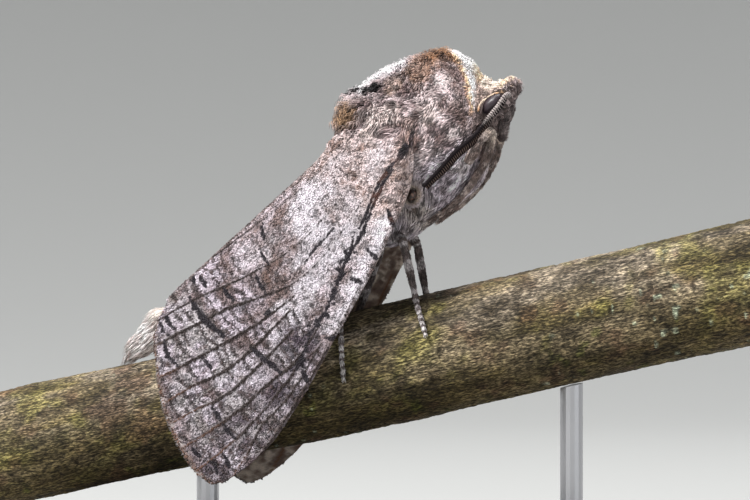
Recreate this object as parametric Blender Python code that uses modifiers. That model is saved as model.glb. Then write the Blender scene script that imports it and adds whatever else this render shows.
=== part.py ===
"""A large carpenter moth at rest, head up, on a cut length of branch held by a plain display stand.

Named lengths are in millimetres and become metres with MM. The moth is modelled in a frame of
its own: X runs rearward along its back, Y to its left, Z from its back down through the body.
"""
import math
import random

import bmesh
import bpy
import numpy as np
from mathutils import Matrix, Vector
from mathutils.bvhtree import BVHTree

MM = 0.001
GAP = 0.3

# Where the forewings first meet on the back, in the world, and how steeply the moth climbs
BACK_POINT = (-4.66, 0.0, 56.47)
CLIMB = math.radians(41.9)

# The branch: half its length, the height of its core at the middle, its rise and its radii
BRANCH_HALF_LENGTH = 51.5
BRANCH_MIDDLE_HEIGHT = 26.65
BRANCH_RISE = math.radians(12.7)
BRANCH_RADIUS_LOW_END = 7.45
BRANCH_RADIUS_HIGH_END = 8.1
BRANCH_ROUGHNESS = 0.22
BRANCH_RINGS = 28
BRANCH_SIDES = 18

# The stand: base block, and the two rods that reach up to the branch
BASE_LENGTH = 84.0
BASE_WIDTH = 46.0
BASE_THICKNESS = 6.0
BASE_CHAMFER = 0.9
ROD_RADIUS = 1.5
ROD_PLACES = {"stand_rod_a": -22.4, "stand_rod_b": 26.0}

# Sections of the body from the tail to the face: top (rearward, down), bottom (rearward, down),
# half width. The nodes are parted from one loft through them.
BODY_SECTIONS = (
    (39.3, 1.9, 38.9, 3.1, 0.7),
    (38.2, 1.2, 37.6, 3.7, 1.6),
    (36.0, 0.8, 35.2, 4.5, 2.3),
    (33.0, 0.5, 31.8, 6.2, 3.0),
    (29.0, 1.5, 27.6, 8.6, 3.9),
    (24.0, 1.9, 23.0, 10.4, 4.6),
    (17.0, 2.0, 16.0, 12.3, 5.3),
    (10.0, 1.9, 9.5, 13.6, 5.8),
    (5.5, 1.8, 5.5, 14.4, 6.0),
    (3.2, 1.6, 3.7, 15.6, 6.9),
    (0.6, 0.9, 1.0, 16.3, 7.9),
    (-1.2, -1.2, -1.0, 16.5, 8.4),
    (-3.6, -2.7, -3.5, 16.7, 8.7),
    (-8.5, -3.2, -6.5, 17.0, 8.7),
    (-12.5, -2.4, -9.3, 17.1, 8.3),
    (-16.3, -0.8, -11.2, 16.6, 7.6),
    (-18.4, 0.5, -12.8, 15.7, 6.5),
    (-20.0, 3.4, -14.3, 15.0, 5.1),
    (-19.9, 6.7, -15.5, 14.1, 3.9),
    (-21.1, 8.3, -16.3, 13.6, 4.0),
    (-22.5, 9.1, -17.8, 12.8, 3.6),
    (-22.8, 9.9, -19.4, 12.2, 2.7),
    (-22.5, 10.6, -20.9, 11.5, 1.3),
)
BODY_RINGS = 46
BODY_SIDES = 30
BODY_SQUARENESS = 2.15

# The cuts that part the body: a point at the top and one at the bottom of each plane
WAIST_CUT = ((4.6, 0.0), (4.9, 16.0))
COLLAR_REAR_CUT = ((-17.6, -0.6), (-12.6, 16.6))
NECK_CUT = ((-19.7, 4.8), (-12.9, 13.6))

# Eyes: middle (rearward, out, down) and half sizes
EYE_MIDDLE = (-18.6, 3.25, 9.8)
EYE_HALF_SIZE = (1.8, 1.25, 1.45)

# The roof that the folded wings make: it leaves the ridge flat, turns down over ROOF_TURN of
# girth until it hangs at ROOF_SLOPE, stands out further over the thorax, and is sunk at the ridge
ROOF_TURN = 16.0
ROOF_SLOPE = math.radians(78.0)
ROOF_FLARE = 1.5
ROOF_FLARE_END = 12.0
ROOF_FLARE_FULL = -2.0
ROOF_SINK = 0.5
ROOF_SINK_END = 16.0

# Outline of the right forewing as (rearward, girth from the ridge): leading edge from base to
# apex, hind margin from base to corner, outer margin from apex to corner
COSTA = ((-8.3, 11.0), (-5.8, 14.2), (-2.7, 16.6), (0.5, 18.6), (6.6, 21.2), (15.6, 24.4),
         (26.2, 28.1), (32.1, 29.5), (36.2, 29.5), (39.3, 29.0), (40.9, 28.2))
HIND_MARGIN = ((-4.8, 6.4), (-2.2, 4.4), (0.3, 2.0), (2.0, 0.3), (8.0, 0.2), (16.0, 0.2),
               (23.5, 0.25), (26.5, 0.7), (29.1, 2.1), (31.3, 3.7))
OUTER_MARGIN = ((40.9, 28.2), (41.5, 25.4), (41.1, 21.6), (40.2, 17.9), (38.7, 14.2),
                (36.8, 10.8), (34.7, 7.1), (32.9, 5.0), (31.3, 3.7))
VEIN_PLACES = (0.035, 0.11, 0.25, 0.38, 0.49, 0.61, 0.76, 0.92)
VEIN_HALF_WIDTH = 0.010
WING_ROWS = 16
WING_THICKNESS = 0.5
VEIN_HEIGHT = 0.25
LEFT_WING_DROOP = math.radians(1.1)
LEFT_WING_SHIFT = 0.9

# The hindwing lies under the forewing, smaller by these insets
HINDWING_START = 0.13
HINDWING_END = 0.80
HINDWING_EDGES = (0.16, 0.93)
HINDWING_DEPTH = WING_THICKNESS + GAP + 0.05
SKIN_CLEARANCE = GAP + 0.05
HINDWING_ROWS = 10
HINDWING_COLUMNS = 10

# Feelers: middle line over the head and thorax as (rearward, down), and radii
ANTENNA_PATH = ((-20.2, 10.9), (-18.9, 11.2), (-16.1, 11.5), (-14.3, 12.0), (-11.0, 12.2),
                (-7.9, 12.5), (-5.0, 12.7))
ANTENNA_ROOT = (-21.6, 2.2, 10.1)
ANTENNA_RADIUS = 0.34
ANTENNA_TIP_RADIUS = 0.16

# Palps: root and tip (rearward, out, down) below the face
PALP_LINE = ((-16.2, 1.1, 14.4), (-18.2, 1.3, 13.6), (-20.0, 1.2, 12.9))
PALP_RADIUS = 0.42

# Legs. The standing ones hold the branch with feet laid on it from one (along, angle) to
# another, the angle taken up from level on the leg's own side.
LEG_RADII = {"thigh": 0.62, "shin": 0.48, "foot": 0.34, "toe": 0.22}
STANDING_LEGS = {
    "leg_mid": {
        "hip": (1.2, 4.2, 13.0),
        "knee": (4.75, 5.9, 42.6),
        "ankle": (5.97, 5.0, 36.6),
        "foot": ((6.4, 50.0), (7.9, 17.0)),
    },
    "leg_hind": {
        "hip": (3.6, 3.6, 12.5),
        "knee": (-1.6, 7.3, 38.6),
        "ankle": (-3.6, 6.9, 33.0),
        "foot": ((-3.4, 37.0), (-2.8, -6.0)),
    },
}
# The front legs are folded under the head and breast: points near the body's skin
FOLDED_LEG = ((-11.2, 6.2, 14.9), (-13.5, 5.5, 14.3), (-15.4, 4.8, 13.7), (-14.2, 4.2, 15.6),
              (-11.0, 4.0, 17.4), (-6.5, 3.9, 18.0), (-2.0, 3.7, 17.9))

# Comb teeth of the feelers: how many in a row, and their sizes
TOOTH_COUNT = 10
TOOTH_LENGTH = 1.15
TOOTH_WIDTH = 0.5
TOOTH_ROWS = (1.0, -1.0)

# Locks of the coat, by tuft: the node that carries them, how many across and along, where they
# start (rearward from one place to another, and turn round the body from the top, in degrees),
# their length, width and thickness, how far they lift from the skin and which way they point
TUFTS = (
    {"node": "abdomen", "along": (33.0, 37.6), "turn": (-135.0, 135.0), "rows": 3, "around": 7,
     "length": 3.9, "width": 1.5, "thickness": 0.5, "lift": 0.20, "aim": (1.0, 0.0, 0.05)},
    {"node": "thorax", "along": (-6.4, -4.4), "turn": (-36.0, 36.0), "rows": 2, "around": 6,
     "length": 2.9, "width": 1.3, "thickness": 0.6, "lift": 0.42, "aim": (1.0, 0.0, 0.30)},
    {"node": "thorax", "along": (-15.6, -14.0), "turn": (-26.0, 26.0), "rows": 2, "around": 4,
     "length": 1.7, "width": 1.6, "thickness": 0.6, "lift": 0.75, "aim": (1.0, 0.0, 0.0)},
    {"node": "thorax", "along": (-2.6, 0.4), "turn": (157.0, 203.0), "rows": 2, "around": 3,
     "length": 2.7, "width": 1.4, "thickness": 0.6, "lift": 0.30, "aim": (1.0, 0.0, 0.1)},
    {"node": "head", "along": (-21.6, -20.9), "turn": (-40.0, 40.0), "rows": 1, "around": 6,
     "length": 1.6, "width": 1.0, "thickness": 0.5, "lift": 0.30, "aim": (-1.0, 0.0, -0.1)},
)
LOCK_VARIATION = 0.18

SIDES = {"right": -1.0, "left": 1.0}

COLOURS = {
    "wing": (0.46, 0.43, 0.42),
    "hindwing": (0.33, 0.30, 0.29),
    "fur": (0.42, 0.36, 0.31),
    "collar": (0.80, 0.78, 0.77),
    "face": (0.52, 0.45, 0.38),
    "tail": (0.66, 0.62, 0.56),
    "eye": (0.05, 0.035, 0.045),
    "feeler": (0.12, 0.10, 0.09),
    "leg": (0.30, 0.27, 0.25),
    "bark": (0.26, 0.23, 0.17),
    "base": (0.05, 0.05, 0.055),
    "rod": (0.62, 0.62, 0.63),
}
ROUGHNESS = {"eye": 0.15, "base": 0.4, "rod": 0.3}
METALS = ("rod",)


def clear_scene():
    """Remove every object, so that only the model remains."""
    for thing in list(bpy.data.objects):
        bpy.data.objects.remove(thing, do_unlink=True)


def collection_named(name):
    """A collection linked to the scene."""
    group = bpy.data.collections.new(name)
    bpy.context.scene.collection.children.link(group)
    return group


def material_for(node, look):
    """A Principled material of a node's own."""
    material = bpy.data.materials.new(node + "_material")
    material.use_nodes = True
    shader = material.node_tree.nodes["Principled BSDF"]
    shader.inputs["Base Color"].default_value = (*COLOURS[look], 1.0)
    shader.inputs["Roughness"].default_value = ROUGHNESS.get(look, 0.75)
    shader.inputs["Metallic"].default_value = 1.0 if look in METALS else 0.0
    return material


def smooth_rows(rows, count, even=True):
    """Count rows along a smooth curve through the given rows of numbers."""
    points = np.array(rows, dtype=float)
    steps = np.linalg.norm(np.diff(points, axis=0), axis=1)
    knots = np.concatenate([[0.0], np.cumsum(steps)]) if even else np.arange(len(points), dtype=float)
    knots = knots / knots[-1]
    slopes = np.gradient(points, knots, axis=0)
    places = np.linspace(0.0, 1.0, count)
    index = np.clip(np.searchsorted(knots, places, side="right") - 1, 0, len(knots) - 2)
    width = (knots[index + 1] - knots[index])[:, None]
    u = ((places - knots[index]) / width[:, 0])[:, None]
    return (
        (2 * u**3 - 3 * u**2 + 1) * points[index]
        + (u**3 - 2 * u**2 + u) * width * slopes[index]
        + (3 * u**2 - 2 * u**3) * points[index + 1]
        + (u**3 - u**2) * width * slopes[index + 1]
    )


def add_object(name, mesh, group, look=None, parent=None):
    """Make an object from a mesh, with its own material where it is a node."""
    thing = bpy.data.objects.new(name, mesh)
    group.objects.link(thing)
    if look:
        mesh.materials.clear()
        mesh.materials.append(material_for(name, look))
    if parent:
        thing.parent = parent
    return thing


def mesh_from(bm, name):
    """Finish a bmesh as a smooth mesh with its faces pointing out."""
    bmesh.ops.triangulate(bm, faces=bm.faces[:])
    bmesh.ops.recalc_face_normals(bm, faces=bm.faces[:])
    mesh = bpy.data.meshes.new(name)
    bm.to_mesh(mesh)
    bm.free()
    mesh.shade_smooth()
    return mesh


def loft(rings):
    """Skin a row of closed rings, each with the same number of points, and fan over both ends."""
    bm = bmesh.new()
    rows = [[bm.verts.new(point) for point in ring] for ring in rings]
    for lower, upper in zip(rows, rows[1:]):
        for i in range(len(lower)):
            j = (i + 1) % len(lower)
            bm.faces.new((lower[i], lower[j], upper[j], upper[i]))
    for row, order in ((rows[0], -1), (rows[-1], 1)):
        middle = bm.verts.new(sum((v.co for v in row), Vector()) / len(row))
        for i in range(len(row)):
            j = (i + 1) % len(row)
            pair = (row[i], row[j]) if order > 0 else (row[j], row[i])
            bm.faces.new((*pair, middle))
    return bm


def keep_largest(bm):
    """Keep only the largest closed surface of a bmesh."""
    bm.faces.ensure_lookup_table()
    seen = set()
    shells = []
    for start in bm.faces:
        if start.index in seen:
            continue
        shell = []
        waiting = [start]
        seen.add(start.index)
        while waiting:
            face = waiting.pop()
            shell.append(face)
            for edge in face.edges:
                for other in edge.link_faces:
                    if other.index not in seen:
                        seen.add(other.index)
                        waiting.append(other)
        shells.append(shell)
    shells.sort(key=lambda faces: sum(face.calc_area() for face in faces))
    for shell in shells[:-1]:
        corners = {vert for face in shell for vert in face.verts}
        bmesh.ops.delete(bm, geom=list(corners), context="VERTS")


def cut_side(bm, cut, keep_rear, clearance=GAP / 2):
    """Cut a body loft with a plane across it and close the opening."""
    (top_x, top_z), (low_x, low_z) = cut
    along = Vector((top_x - low_x, 0.0, top_z - low_z)).normalized()
    rearward = Vector((-along.z, 0.0, along.x))
    if rearward.x < 0:
        rearward.negate()
    normal = rearward if keep_rear else -rearward
    middle = Vector(((top_x + low_x) / 2, 0.0, (top_z + low_z) / 2)) * MM
    middle += normal * clearance * MM
    geometry = bm.verts[:] + bm.edges[:] + bm.faces[:]
    result = bmesh.ops.bisect_plane(
        bm, geom=geometry, dist=1e-7, plane_co=middle, plane_no=normal, clear_inner=True)
    edges = [item for item in result["geom_cut"] if isinstance(item, bmesh.types.BMEdge)]
    bmesh.ops.contextual_create(bm, geom=edges)


def body_loft():
    """The whole body, from the tail tip to the face, as one closed form."""
    rings = []
    for top_x, top_z, low_x, low_z, half_width in smooth_rows(BODY_SECTIONS, BODY_RINGS):
        middle = Vector(((top_x + low_x) / 2, 0.0, (top_z + low_z) / 2))
        up = Vector((top_x, 0.0, top_z)) - middle
        ring = []
        for i in range(BODY_SIDES):
            turn = 2 * math.pi * i / BODY_SIDES
            c, s = math.cos(turn), math.sin(turn)
            rise = math.copysign(abs(c) ** (2 / BODY_SQUARENESS), c)
            out = math.copysign(abs(s) ** (2 / BODY_SQUARENESS), s)
            ring.append((middle + up * rise + Vector((0.0, out * half_width, 0.0))) * MM)
        rings.append(ring)
    return loft(rings)


def add_ellipsoid(name, middle, half_size, group, look, parent, segments=16, rings=10):
    """A closed ellipsoid, its sizes applied to its mesh."""
    bm = bmesh.new()
    bmesh.ops.create_uvsphere(bm, u_segments=segments, v_segments=rings, radius=1.0)
    bmesh.ops.scale(bm, verts=bm.verts[:], vec=Vector(half_size) * MM)
    thing = add_object(name, mesh_from(bm, name), group, look, parent)
    thing.location = Vector(middle) * MM
    return thing


def apply_modifiers(thing):
    """Replace an object's mesh with its evaluated one."""
    bpy.context.view_layer.update()
    graph = bpy.context.evaluated_depsgraph_get()
    mesh = bpy.data.meshes.new_from_object(thing.evaluated_get(graph))
    thing.modifiers.clear()
    old = thing.data
    thing.data = mesh
    bpy.data.meshes.remove(old)


def tidy_mesh(thing):
    """Weld, triangulate and keep the one closed surface of an object."""
    bm = bmesh.new()
    bm.from_mesh(thing.data)
    bmesh.ops.remove_doubles(bm, verts=bm.verts[:], dist=2e-6)
    bmesh.ops.triangulate(bm, faces=bm.faces[:])
    keep_largest(bm)
    bm.to_mesh(thing.data)
    bm.free()
    thing.data.shade_smooth()


def cut_with(thing, cutter):
    """Cut one closed object out of another and remove the cutter."""
    cutter.hide_render = True
    cutter.display_type = "WIRE"
    boolean = thing.modifiers.new("cut", "BOOLEAN")
    boolean.operation = "DIFFERENCE"
    boolean.solver = "EXACT"
    boolean.object = cutter
    apply_modifiers(thing)
    tidy_mesh(thing)
    bpy.data.objects.remove(cutter, do_unlink=True)


def taper(points, widths, across, thickness):
    """A flat tapered closed form along points: width and thickness shrink to a blunt tip."""
    rings = []
    for index, (point, width) in enumerate(zip(points, widths)):
        ahead = points[min(index + 1, len(points) - 1)] - points[max(index - 1, 0)]
        sideways = across - ahead * (across.dot(ahead) / ahead.length_squared)
        sideways.normalize()
        upward = ahead.cross(sideways).normalized()
        flat = thickness * max(0.35, width / widths[0])
        ring = [point + sideways * width / 2, point + upward * flat / 2,
                point - sideways * width / 2, point - upward * flat / 2]
        rings.append([corner * MM for corner in ring])
    return loft(rings)


def fuse(thing, forms, group):
    """Join closed forms to an object as one body, each with its root sunk into it."""
    joined = bpy.data.collections.new(thing.name + "_forms")
    bpy.context.scene.collection.children.link(joined)
    for number, bm in enumerate(forms):
        piece = bpy.data.objects.new(f"{thing.name}_form_{number}", mesh_from(bm, "form"))
        joined.objects.link(piece)
        piece.matrix_world = thing.matrix_world
    union = thing.modifiers.new("joined", "BOOLEAN")
    union.operation = "UNION"
    union.solver = "EXACT"
    union.operand_type = "COLLECTION"
    union.collection = joined
    apply_modifiers(thing)
    for piece in list(joined.objects):
        bpy.data.objects.remove(piece, do_unlink=True)
    bpy.data.collections.remove(joined)
    tidy_mesh(thing)


def tube(name, points, radii, group, look, parent=None, weld=True):
    """A tube through points, its radius varied from point to point, as a closed mesh."""
    curve = bpy.data.curves.new(name + "_line", "CURVE")
    curve.dimensions = "3D"
    curve.bevel_depth = 1.0 * MM
    curve.bevel_resolution = 2
    curve.use_fill_caps = True
    spline = curve.splines.new("POLY")
    spline.points.add(len(points) - 1)
    for knot, point, radius in zip(spline.points, points, radii):
        knot.co = (*(Vector(point) * MM), 1.0)
        knot.radius = radius
    line = bpy.data.objects.new(name + "_line", curve)
    group.objects.link(line)
    bpy.context.view_layer.update()
    graph = bpy.context.evaluated_depsgraph_get()
    mesh = bpy.data.meshes.new_from_object(line.evaluated_get(graph))
    bpy.data.objects.remove(line, do_unlink=True)
    bpy.data.curves.remove(curve)
    bm = bmesh.new()
    bm.from_mesh(mesh)
    bpy.data.meshes.remove(mesh)
    if weld:
        bmesh.ops.remove_doubles(bm, verts=bm.verts[:], dist=1e-6)
    return add_object(name, mesh_from(bm, name), group, look, parent)


class Skin:
    """A closed surface that other pieces are set on, with every length in millimetres."""

    def __init__(self, *meshes):
        self.trees = []
        for bm in meshes:
            self.trees.append(BVHTree.FromBMesh(bm))

    def nearest(self, point):
        """The closest place on the surface, its outward direction and its distance."""
        best = None
        for tree in self.trees:
            place, normal, _, distance = tree.find_nearest(Vector(point) * MM)
            if best is None or distance < best[2]:
                best = (place / MM, normal, distance)
        return best[0], best[1], best[2] / MM

    def lifted(self, point, lift):
        """The closest place on the surface, raised from it."""
        place, normal, _ = self.nearest(point)
        return place + normal * lift

    def from_side(self, along, down, side, lift):
        """Where a line across the body from one side meets the surface, raised from it."""
        start = Vector((along, side * 40.0, down)) * MM
        for tree in self.trees:
            place, normal, _, _ = tree.ray_cast(start, Vector((0.0, -side, 0.0)))
            if place:
                return place / MM + normal * lift
        return None

    def exit_point(self, inside, outside, lift):
        """Where the line from an inner point to an outer one leaves the surface."""
        inner, outer = Vector(inside) * MM, Vector(outside) * MM
        toward = (inner - outer).normalized()
        place = self.trees[0].ray_cast(outer, toward)[0]
        return place / MM - toward * lift

    def pushed(self, point, clearance):
        """A point moved out until it stands clear of the surface."""
        place, normal, _ = self.nearest(point)
        height = (Vector(point) - place).dot(normal)
        if height < clearance:
            return Vector(point) + normal * (clearance - height)
        return Vector(point)


def branch_core(along):
    """Height of the branch's core."""
    return BRANCH_MIDDLE_HEIGHT + along * math.tan(BRANCH_RISE)


def branch_radius(along, turn):
    """Radius of the branch, with its taper, swellings and bark ribs."""
    share = (along + BRANCH_HALF_LENGTH) / (2 * BRANCH_HALF_LENGTH)
    radius = BRANCH_RADIUS_LOW_END + (BRANCH_RADIUS_HIGH_END - BRANCH_RADIUS_LOW_END) * share
    swell = math.sin(along * 0.11 + 1.0 + math.cos(turn)) * 0.6
    ribs = math.sin(3 * turn + along * 0.05) * 0.5 + math.sin(5 * turn - along * 0.09 + 2.0) * 0.3
    return radius + BRANCH_ROUGHNESS * (swell + ribs)


def branch_point(along, turn, lift=0.0):
    """A place on the branch in the world: turn 0 is on the left side (+Y), pi/2 is up."""
    radius = branch_radius(along, turn) + lift
    upright = radius / math.cos(BRANCH_RISE)
    return Vector((along, radius * math.cos(turn), branch_core(along) + upright * math.sin(turn)))


def add_branch(group):
    """The cut length of branch."""
    rings = []
    for along in np.linspace(-BRANCH_HALF_LENGTH, BRANCH_HALF_LENGTH, BRANCH_RINGS):
        turns = [2 * math.pi * i / BRANCH_SIDES for i in range(BRANCH_SIDES)]
        rings.append([branch_point(along, turn) * MM for turn in turns])
    return add_object("branch", mesh_from(loft(rings), "branch"), group, "bark")


def add_stand(group, branch):
    """The base block and its rods, each rod's head shaped to the branch above it."""
    bm = bmesh.new()
    bmesh.ops.create_cube(bm, size=1.0)
    size = Vector((BASE_LENGTH, BASE_WIDTH, BASE_THICKNESS)) * MM
    bmesh.ops.scale(bm, verts=bm.verts[:], vec=size)
    base = add_object("stand_base", mesh_from(bm, "stand_base"), group, "base")
    base.data.shade_flat()
    base.location = (0.0, 0.0, BASE_THICKNESS / 2 * MM)
    bevel = base.modifiers.new("edges", "BEVEL")
    bevel.width = BASE_CHAMFER * MM
    bevel.segments = 2
    bevel.limit_method = "ANGLE"

    tree = BVHTree.FromObject(branch, bpy.context.evaluated_depsgraph_get())
    for name, along in ROD_PLACES.items():
        bm = bmesh.new()
        bmesh.ops.create_cone(bm, cap_ends=True, cap_tris=True, segments=16,
                              radius1=ROD_RADIUS * MM, radius2=ROD_RADIUS * MM, depth=1.0 * MM)
        foot = (BASE_THICKNESS + GAP) * MM
        for vert in bm.verts:
            if vert.co.z < 0:
                vert.co.z = foot
                continue
            below = Vector((along * MM + vert.co.x, vert.co.y, 0.0))
            vert.co.z = tree.ray_cast(below, Vector((0.0, 0.0, 1.0)))[0].z - GAP * MM
        rod = add_object(name, mesh_from(bm, name), group, "rod")
        rod.data.set_sharp_from_angle(angle=math.radians(40.0))
        rod.location.x = along * MM


def roof_table():
    """Out and down from the ridge against girth, worked along the roof in fine steps."""
    girth = np.linspace(0.0, 36.0, 721)
    turned = np.clip(girth / ROOF_TURN, 0.0, 1.0)
    slope = ROOF_SLOPE * (1.0 - (1.0 - turned) ** 2)
    middle = (slope[1:] + slope[:-1]) / 2
    step = np.diff(girth)
    out = np.concatenate([[0.0], np.cumsum(np.cos(middle) * step)])
    down = np.concatenate([[0.0], np.cumsum(np.sin(middle) * step)])
    return girth, out, down


ROOF = roof_table()


def roof_point(along, girth, side):
    """A place on the roof of the right (side -1) or left (side +1) wings."""
    out = float(np.interp(girth, ROOF[0], ROOF[1]))
    down = float(np.interp(girth, ROOF[0], ROOF[2]))
    share = (ROOF_FLARE_END - along) / (ROOF_FLARE_END - ROOF_FLARE_FULL)
    share = min(1.0, max(0.0, share))
    out += ROOF_FLARE * share * share * (3 - 2 * share) * min(1.0, down / 5.0)
    sunk = ROOF_SINK * max(0.0, 1.0 - girth / ROOF_SINK_END)
    return Vector((along, side * out, down + sunk))


def margin_curves(rows, columns):
    """The three margins of the forewing: leading and hind by row, outer by column."""
    return smooth_rows(COSTA, rows), smooth_rows(HIND_MARGIN, rows), smooth_rows(OUTER_MARGIN, columns)


def wing_place(s, t):
    """Rearward place and girth at a share s from base to outer margin, t from leading to hind."""
    fine = 81
    costa, hind, outer = MARGINS
    def at(curve, share):
        place = share * (fine - 1)
        low = min(int(place), fine - 2)
        return curve[low] + (curve[low + 1] - curve[low]) * (place - low)
    straight = at(costa, s) * (1 - t) + at(hind, s) * t
    correction = at(outer, t) - costa[-1] * (1 - t) - hind[-1] * t
    return straight + correction * s**1.6


MARGINS = margin_curves(81, 81)


def wing_columns():
    """Places of the wing's columns from leading to hind edge, with those on a vein's crest."""
    places = [0.0]
    crests = {0.0}
    for vein, following in zip(VEIN_PLACES, (*VEIN_PLACES[1:], 1.0)):
        places += [vein - VEIN_HALF_WIDTH, vein, vein + VEIN_HALF_WIDTH]
        crests.add(vein)
        places.append((vein + following) / 2)
    places.append(1.0)
    return places, crests


def swing(point, side):
    """Settle the left forewing a little lower and further back than the right one."""
    if side < 0:
        return point
    pivot = Vector((-4.0, 0.0, 6.0))
    turned = Matrix.Rotation(-LEFT_WING_DROOP, 3, "Y") @ (point - pivot)
    share = min(1.0, max(0.0, point.x / 40.0))
    return pivot + turned + Vector((LEFT_WING_SHIFT * share, 0.0, 0.0))


def sheet(name, points, raised, group, look, parent, side):
    """A closed thin sheet: a grid laid on points and thickened outward, more where raised."""
    rows, columns = len(points), len(points[0])
    bm = bmesh.new()
    bmesh.ops.create_grid(bm, x_segments=columns - 1, y_segments=rows - 1, size=1.0)
    order = sorted(bm.verts, key=lambda v: (round(v.co.y, 6), round(v.co.x, 6)))
    for index, vert in enumerate(order):
        vert.co = points[index // columns][index % columns] * MM
    bmesh.ops.triangulate(bm, faces=bm.faces[:])
    middle = points[rows // 2][columns // 2]
    face = min(bm.faces, key=lambda f: (f.calc_center_median() - middle * MM).length)
    if face.normal.y * side < 0 or (face.normal.y == 0 and face.normal.z > 0):
        bmesh.ops.reverse_faces(bm, faces=bm.faces[:])
    mesh = bpy.data.meshes.new(name)
    bm.verts.index_update()
    indices = [vert.index for vert in order]
    bm.to_mesh(mesh)
    bm.free()
    thing = add_object(name, mesh, group, look, parent)
    full = WING_THICKNESS + VEIN_HEIGHT
    weights = thing.vertex_groups.new(name="thickness")
    for number, index in enumerate(indices):
        on_vein = (number % columns) in raised
        weights.add([index], 1.0 if on_vein else WING_THICKNESS / full, "REPLACE")
    solid = thing.modifiers.new("thickness", "SOLIDIFY")
    solid.thickness = full * MM
    solid.offset = 1.0
    solid.vertex_group = "thickness"
    solid.use_rim = True
    apply_modifiers(thing)
    tidy_mesh(thing)
    return thing


def wing_point(s, t, side, skin):
    """A place on the forewing's inner face, held clear of the body and of the hindwing's root."""
    along, girth = wing_place(s, t)
    point = swing(roof_point(along, girth, side), side)
    share = min(1.0, max(0.0, (s - 0.04) / (HINDWING_START - 0.05)))
    return skin.pushed(point, SKIN_CLEARANCE + HINDWING_DEPTH * share)


def add_wings(side_name, side, group, parent, skin):
    """One forewing and the hindwing under it."""
    places, crests = wing_columns()
    rows = [row / WING_ROWS for row in range(WING_ROWS + 1)]
    points = [[wing_point(s, t, side, skin) for t in places] for s in rows]
    raised = {index for index, t in enumerate(places) if t in crests}
    sheet("forewing_" + side_name, points, raised, group, "wing", parent, side)

    points = []
    first, last = HINDWING_EDGES
    for row in range(HINDWING_ROWS + 1):
        s = HINDWING_START + (HINDWING_END - HINDWING_START) * row / HINDWING_ROWS
        line = []
        for column in range(HINDWING_COLUMNS + 1):
            t = first + (last - first) * column / HINDWING_COLUMNS
            point = wing_point(s, t, side, skin)
            back = wing_point(s + 0.02, t, side, skin) - wing_point(s - 0.02, t, side, skin)
            down = wing_point(s, t - 0.02, side, skin) - wing_point(s, t + 0.02, side, skin)
            outward = back.cross(down).normalized() * -side
            line.append(point - outward * HINDWING_DEPTH)
        points.append(line)
    sheet("hindwing_" + side_name, points, set(), group, "hindwing", parent, side)


def add_head_parts(side_name, side, group, cutters, parent, head, skin):
    """An eye in its socket, a feeler and a palp."""
    middle = Vector((EYE_MIDDLE[0], side * EYE_MIDDLE[1], EYE_MIDDLE[2]))
    eye = add_ellipsoid("eye_" + side_name, middle, EYE_HALF_SIZE, group, "eye", parent)
    socket_size = [half + GAP for half in EYE_HALF_SIZE]
    socket = add_ellipsoid("socket_" + side_name, middle, socket_size, cutters, None, parent)
    cut_with(head, socket)
    bm = bmesh.new()
    bm.from_mesh(eye.data)
    bm.transform(Matrix.Translation(middle * MM))
    with_eye = Skin(bm)

    root = Vector((ANTENNA_ROOT[0], side * ANTENNA_ROOT[1], ANTENNA_ROOT[2]))
    lift = ANTENNA_RADIUS + GAP + 0.12
    points = [skin.lifted(root, GAP + 0.05), skin.lifted(root + Vector((0.5, side * 1.2, 0.1)), lift)]
    for along, down in ANTENNA_PATH:
        point = skin.from_side(along, down, side, lift)
        points.append(with_eye.pushed(point, lift))
    smooth = [Vector(row) for row in smooth_rows(points, 13)]
    smooth = [smooth[0]] + [skin.pushed(point, lift) for point in smooth[1:]]
    radii = np.linspace(ANTENNA_RADIUS, ANTENNA_TIP_RADIUS, len(smooth))
    shaft = tube("antenna_" + side_name, smooth, radii, group, "feeler", parent)
    bpy.context.view_layer.update()
    teeth = []
    for row in TOOTH_ROWS:
        for number in range(TOOTH_COUNT):
            place = 1.8 + number * 0.66 + 0.33 * (row < 0)
            low = int(place)
            start = smooth[low].lerp(smooth[low + 1], place - low)
            ahead = (smooth[low + 1] - smooth[low]).normalized()
            outward = skin.nearest(start)[1]
            sweep = ahead.cross(outward).normalized() * row
            if number == 0 and row < 0:
                continue
            share = number / (TOOTH_COUNT - 1)
            length = TOOTH_LENGTH * (1.0 - 0.55 * share)
            aim = (sweep + outward * 0.55 + ahead * 0.45).normalized()
            tip = start + aim * length + ahead * 0.1
            line = [start, with_eye.pushed(tip, GAP + 0.2)]
            teeth.append(taper(line, (TOOTH_WIDTH, 0.14), ahead, TOOTH_WIDTH))
    fuse(shaft, teeth, group)
    bm.free()

    line = [Vector((x, side * y, z)) for x, y, z in PALP_LINE]
    line = [skin.lifted(line[0], GAP + 0.15)] + [skin.lifted(p, PALP_RADIUS + GAP + 0.08) for p in line]
    radii = (PALP_RADIUS * 0.7, PALP_RADIUS * 0.9, PALP_RADIUS, PALP_RADIUS * 0.5)
    tube("palp_" + side_name, line, radii, group, "face", parent)


def foot_points(foot, side, lift):
    """Points of a foot laid on the branch, in the world."""
    (start, start_angle), (end, end_angle) = foot
    points = []
    for share in np.linspace(0.0, 1.0, 4):
        angle = math.radians(start_angle + (end_angle - start_angle) * share)
        turn = angle if side > 0 else math.pi - angle
        points.append(branch_point(start + (end - start) * share, turn, lift))
    return points


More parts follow.
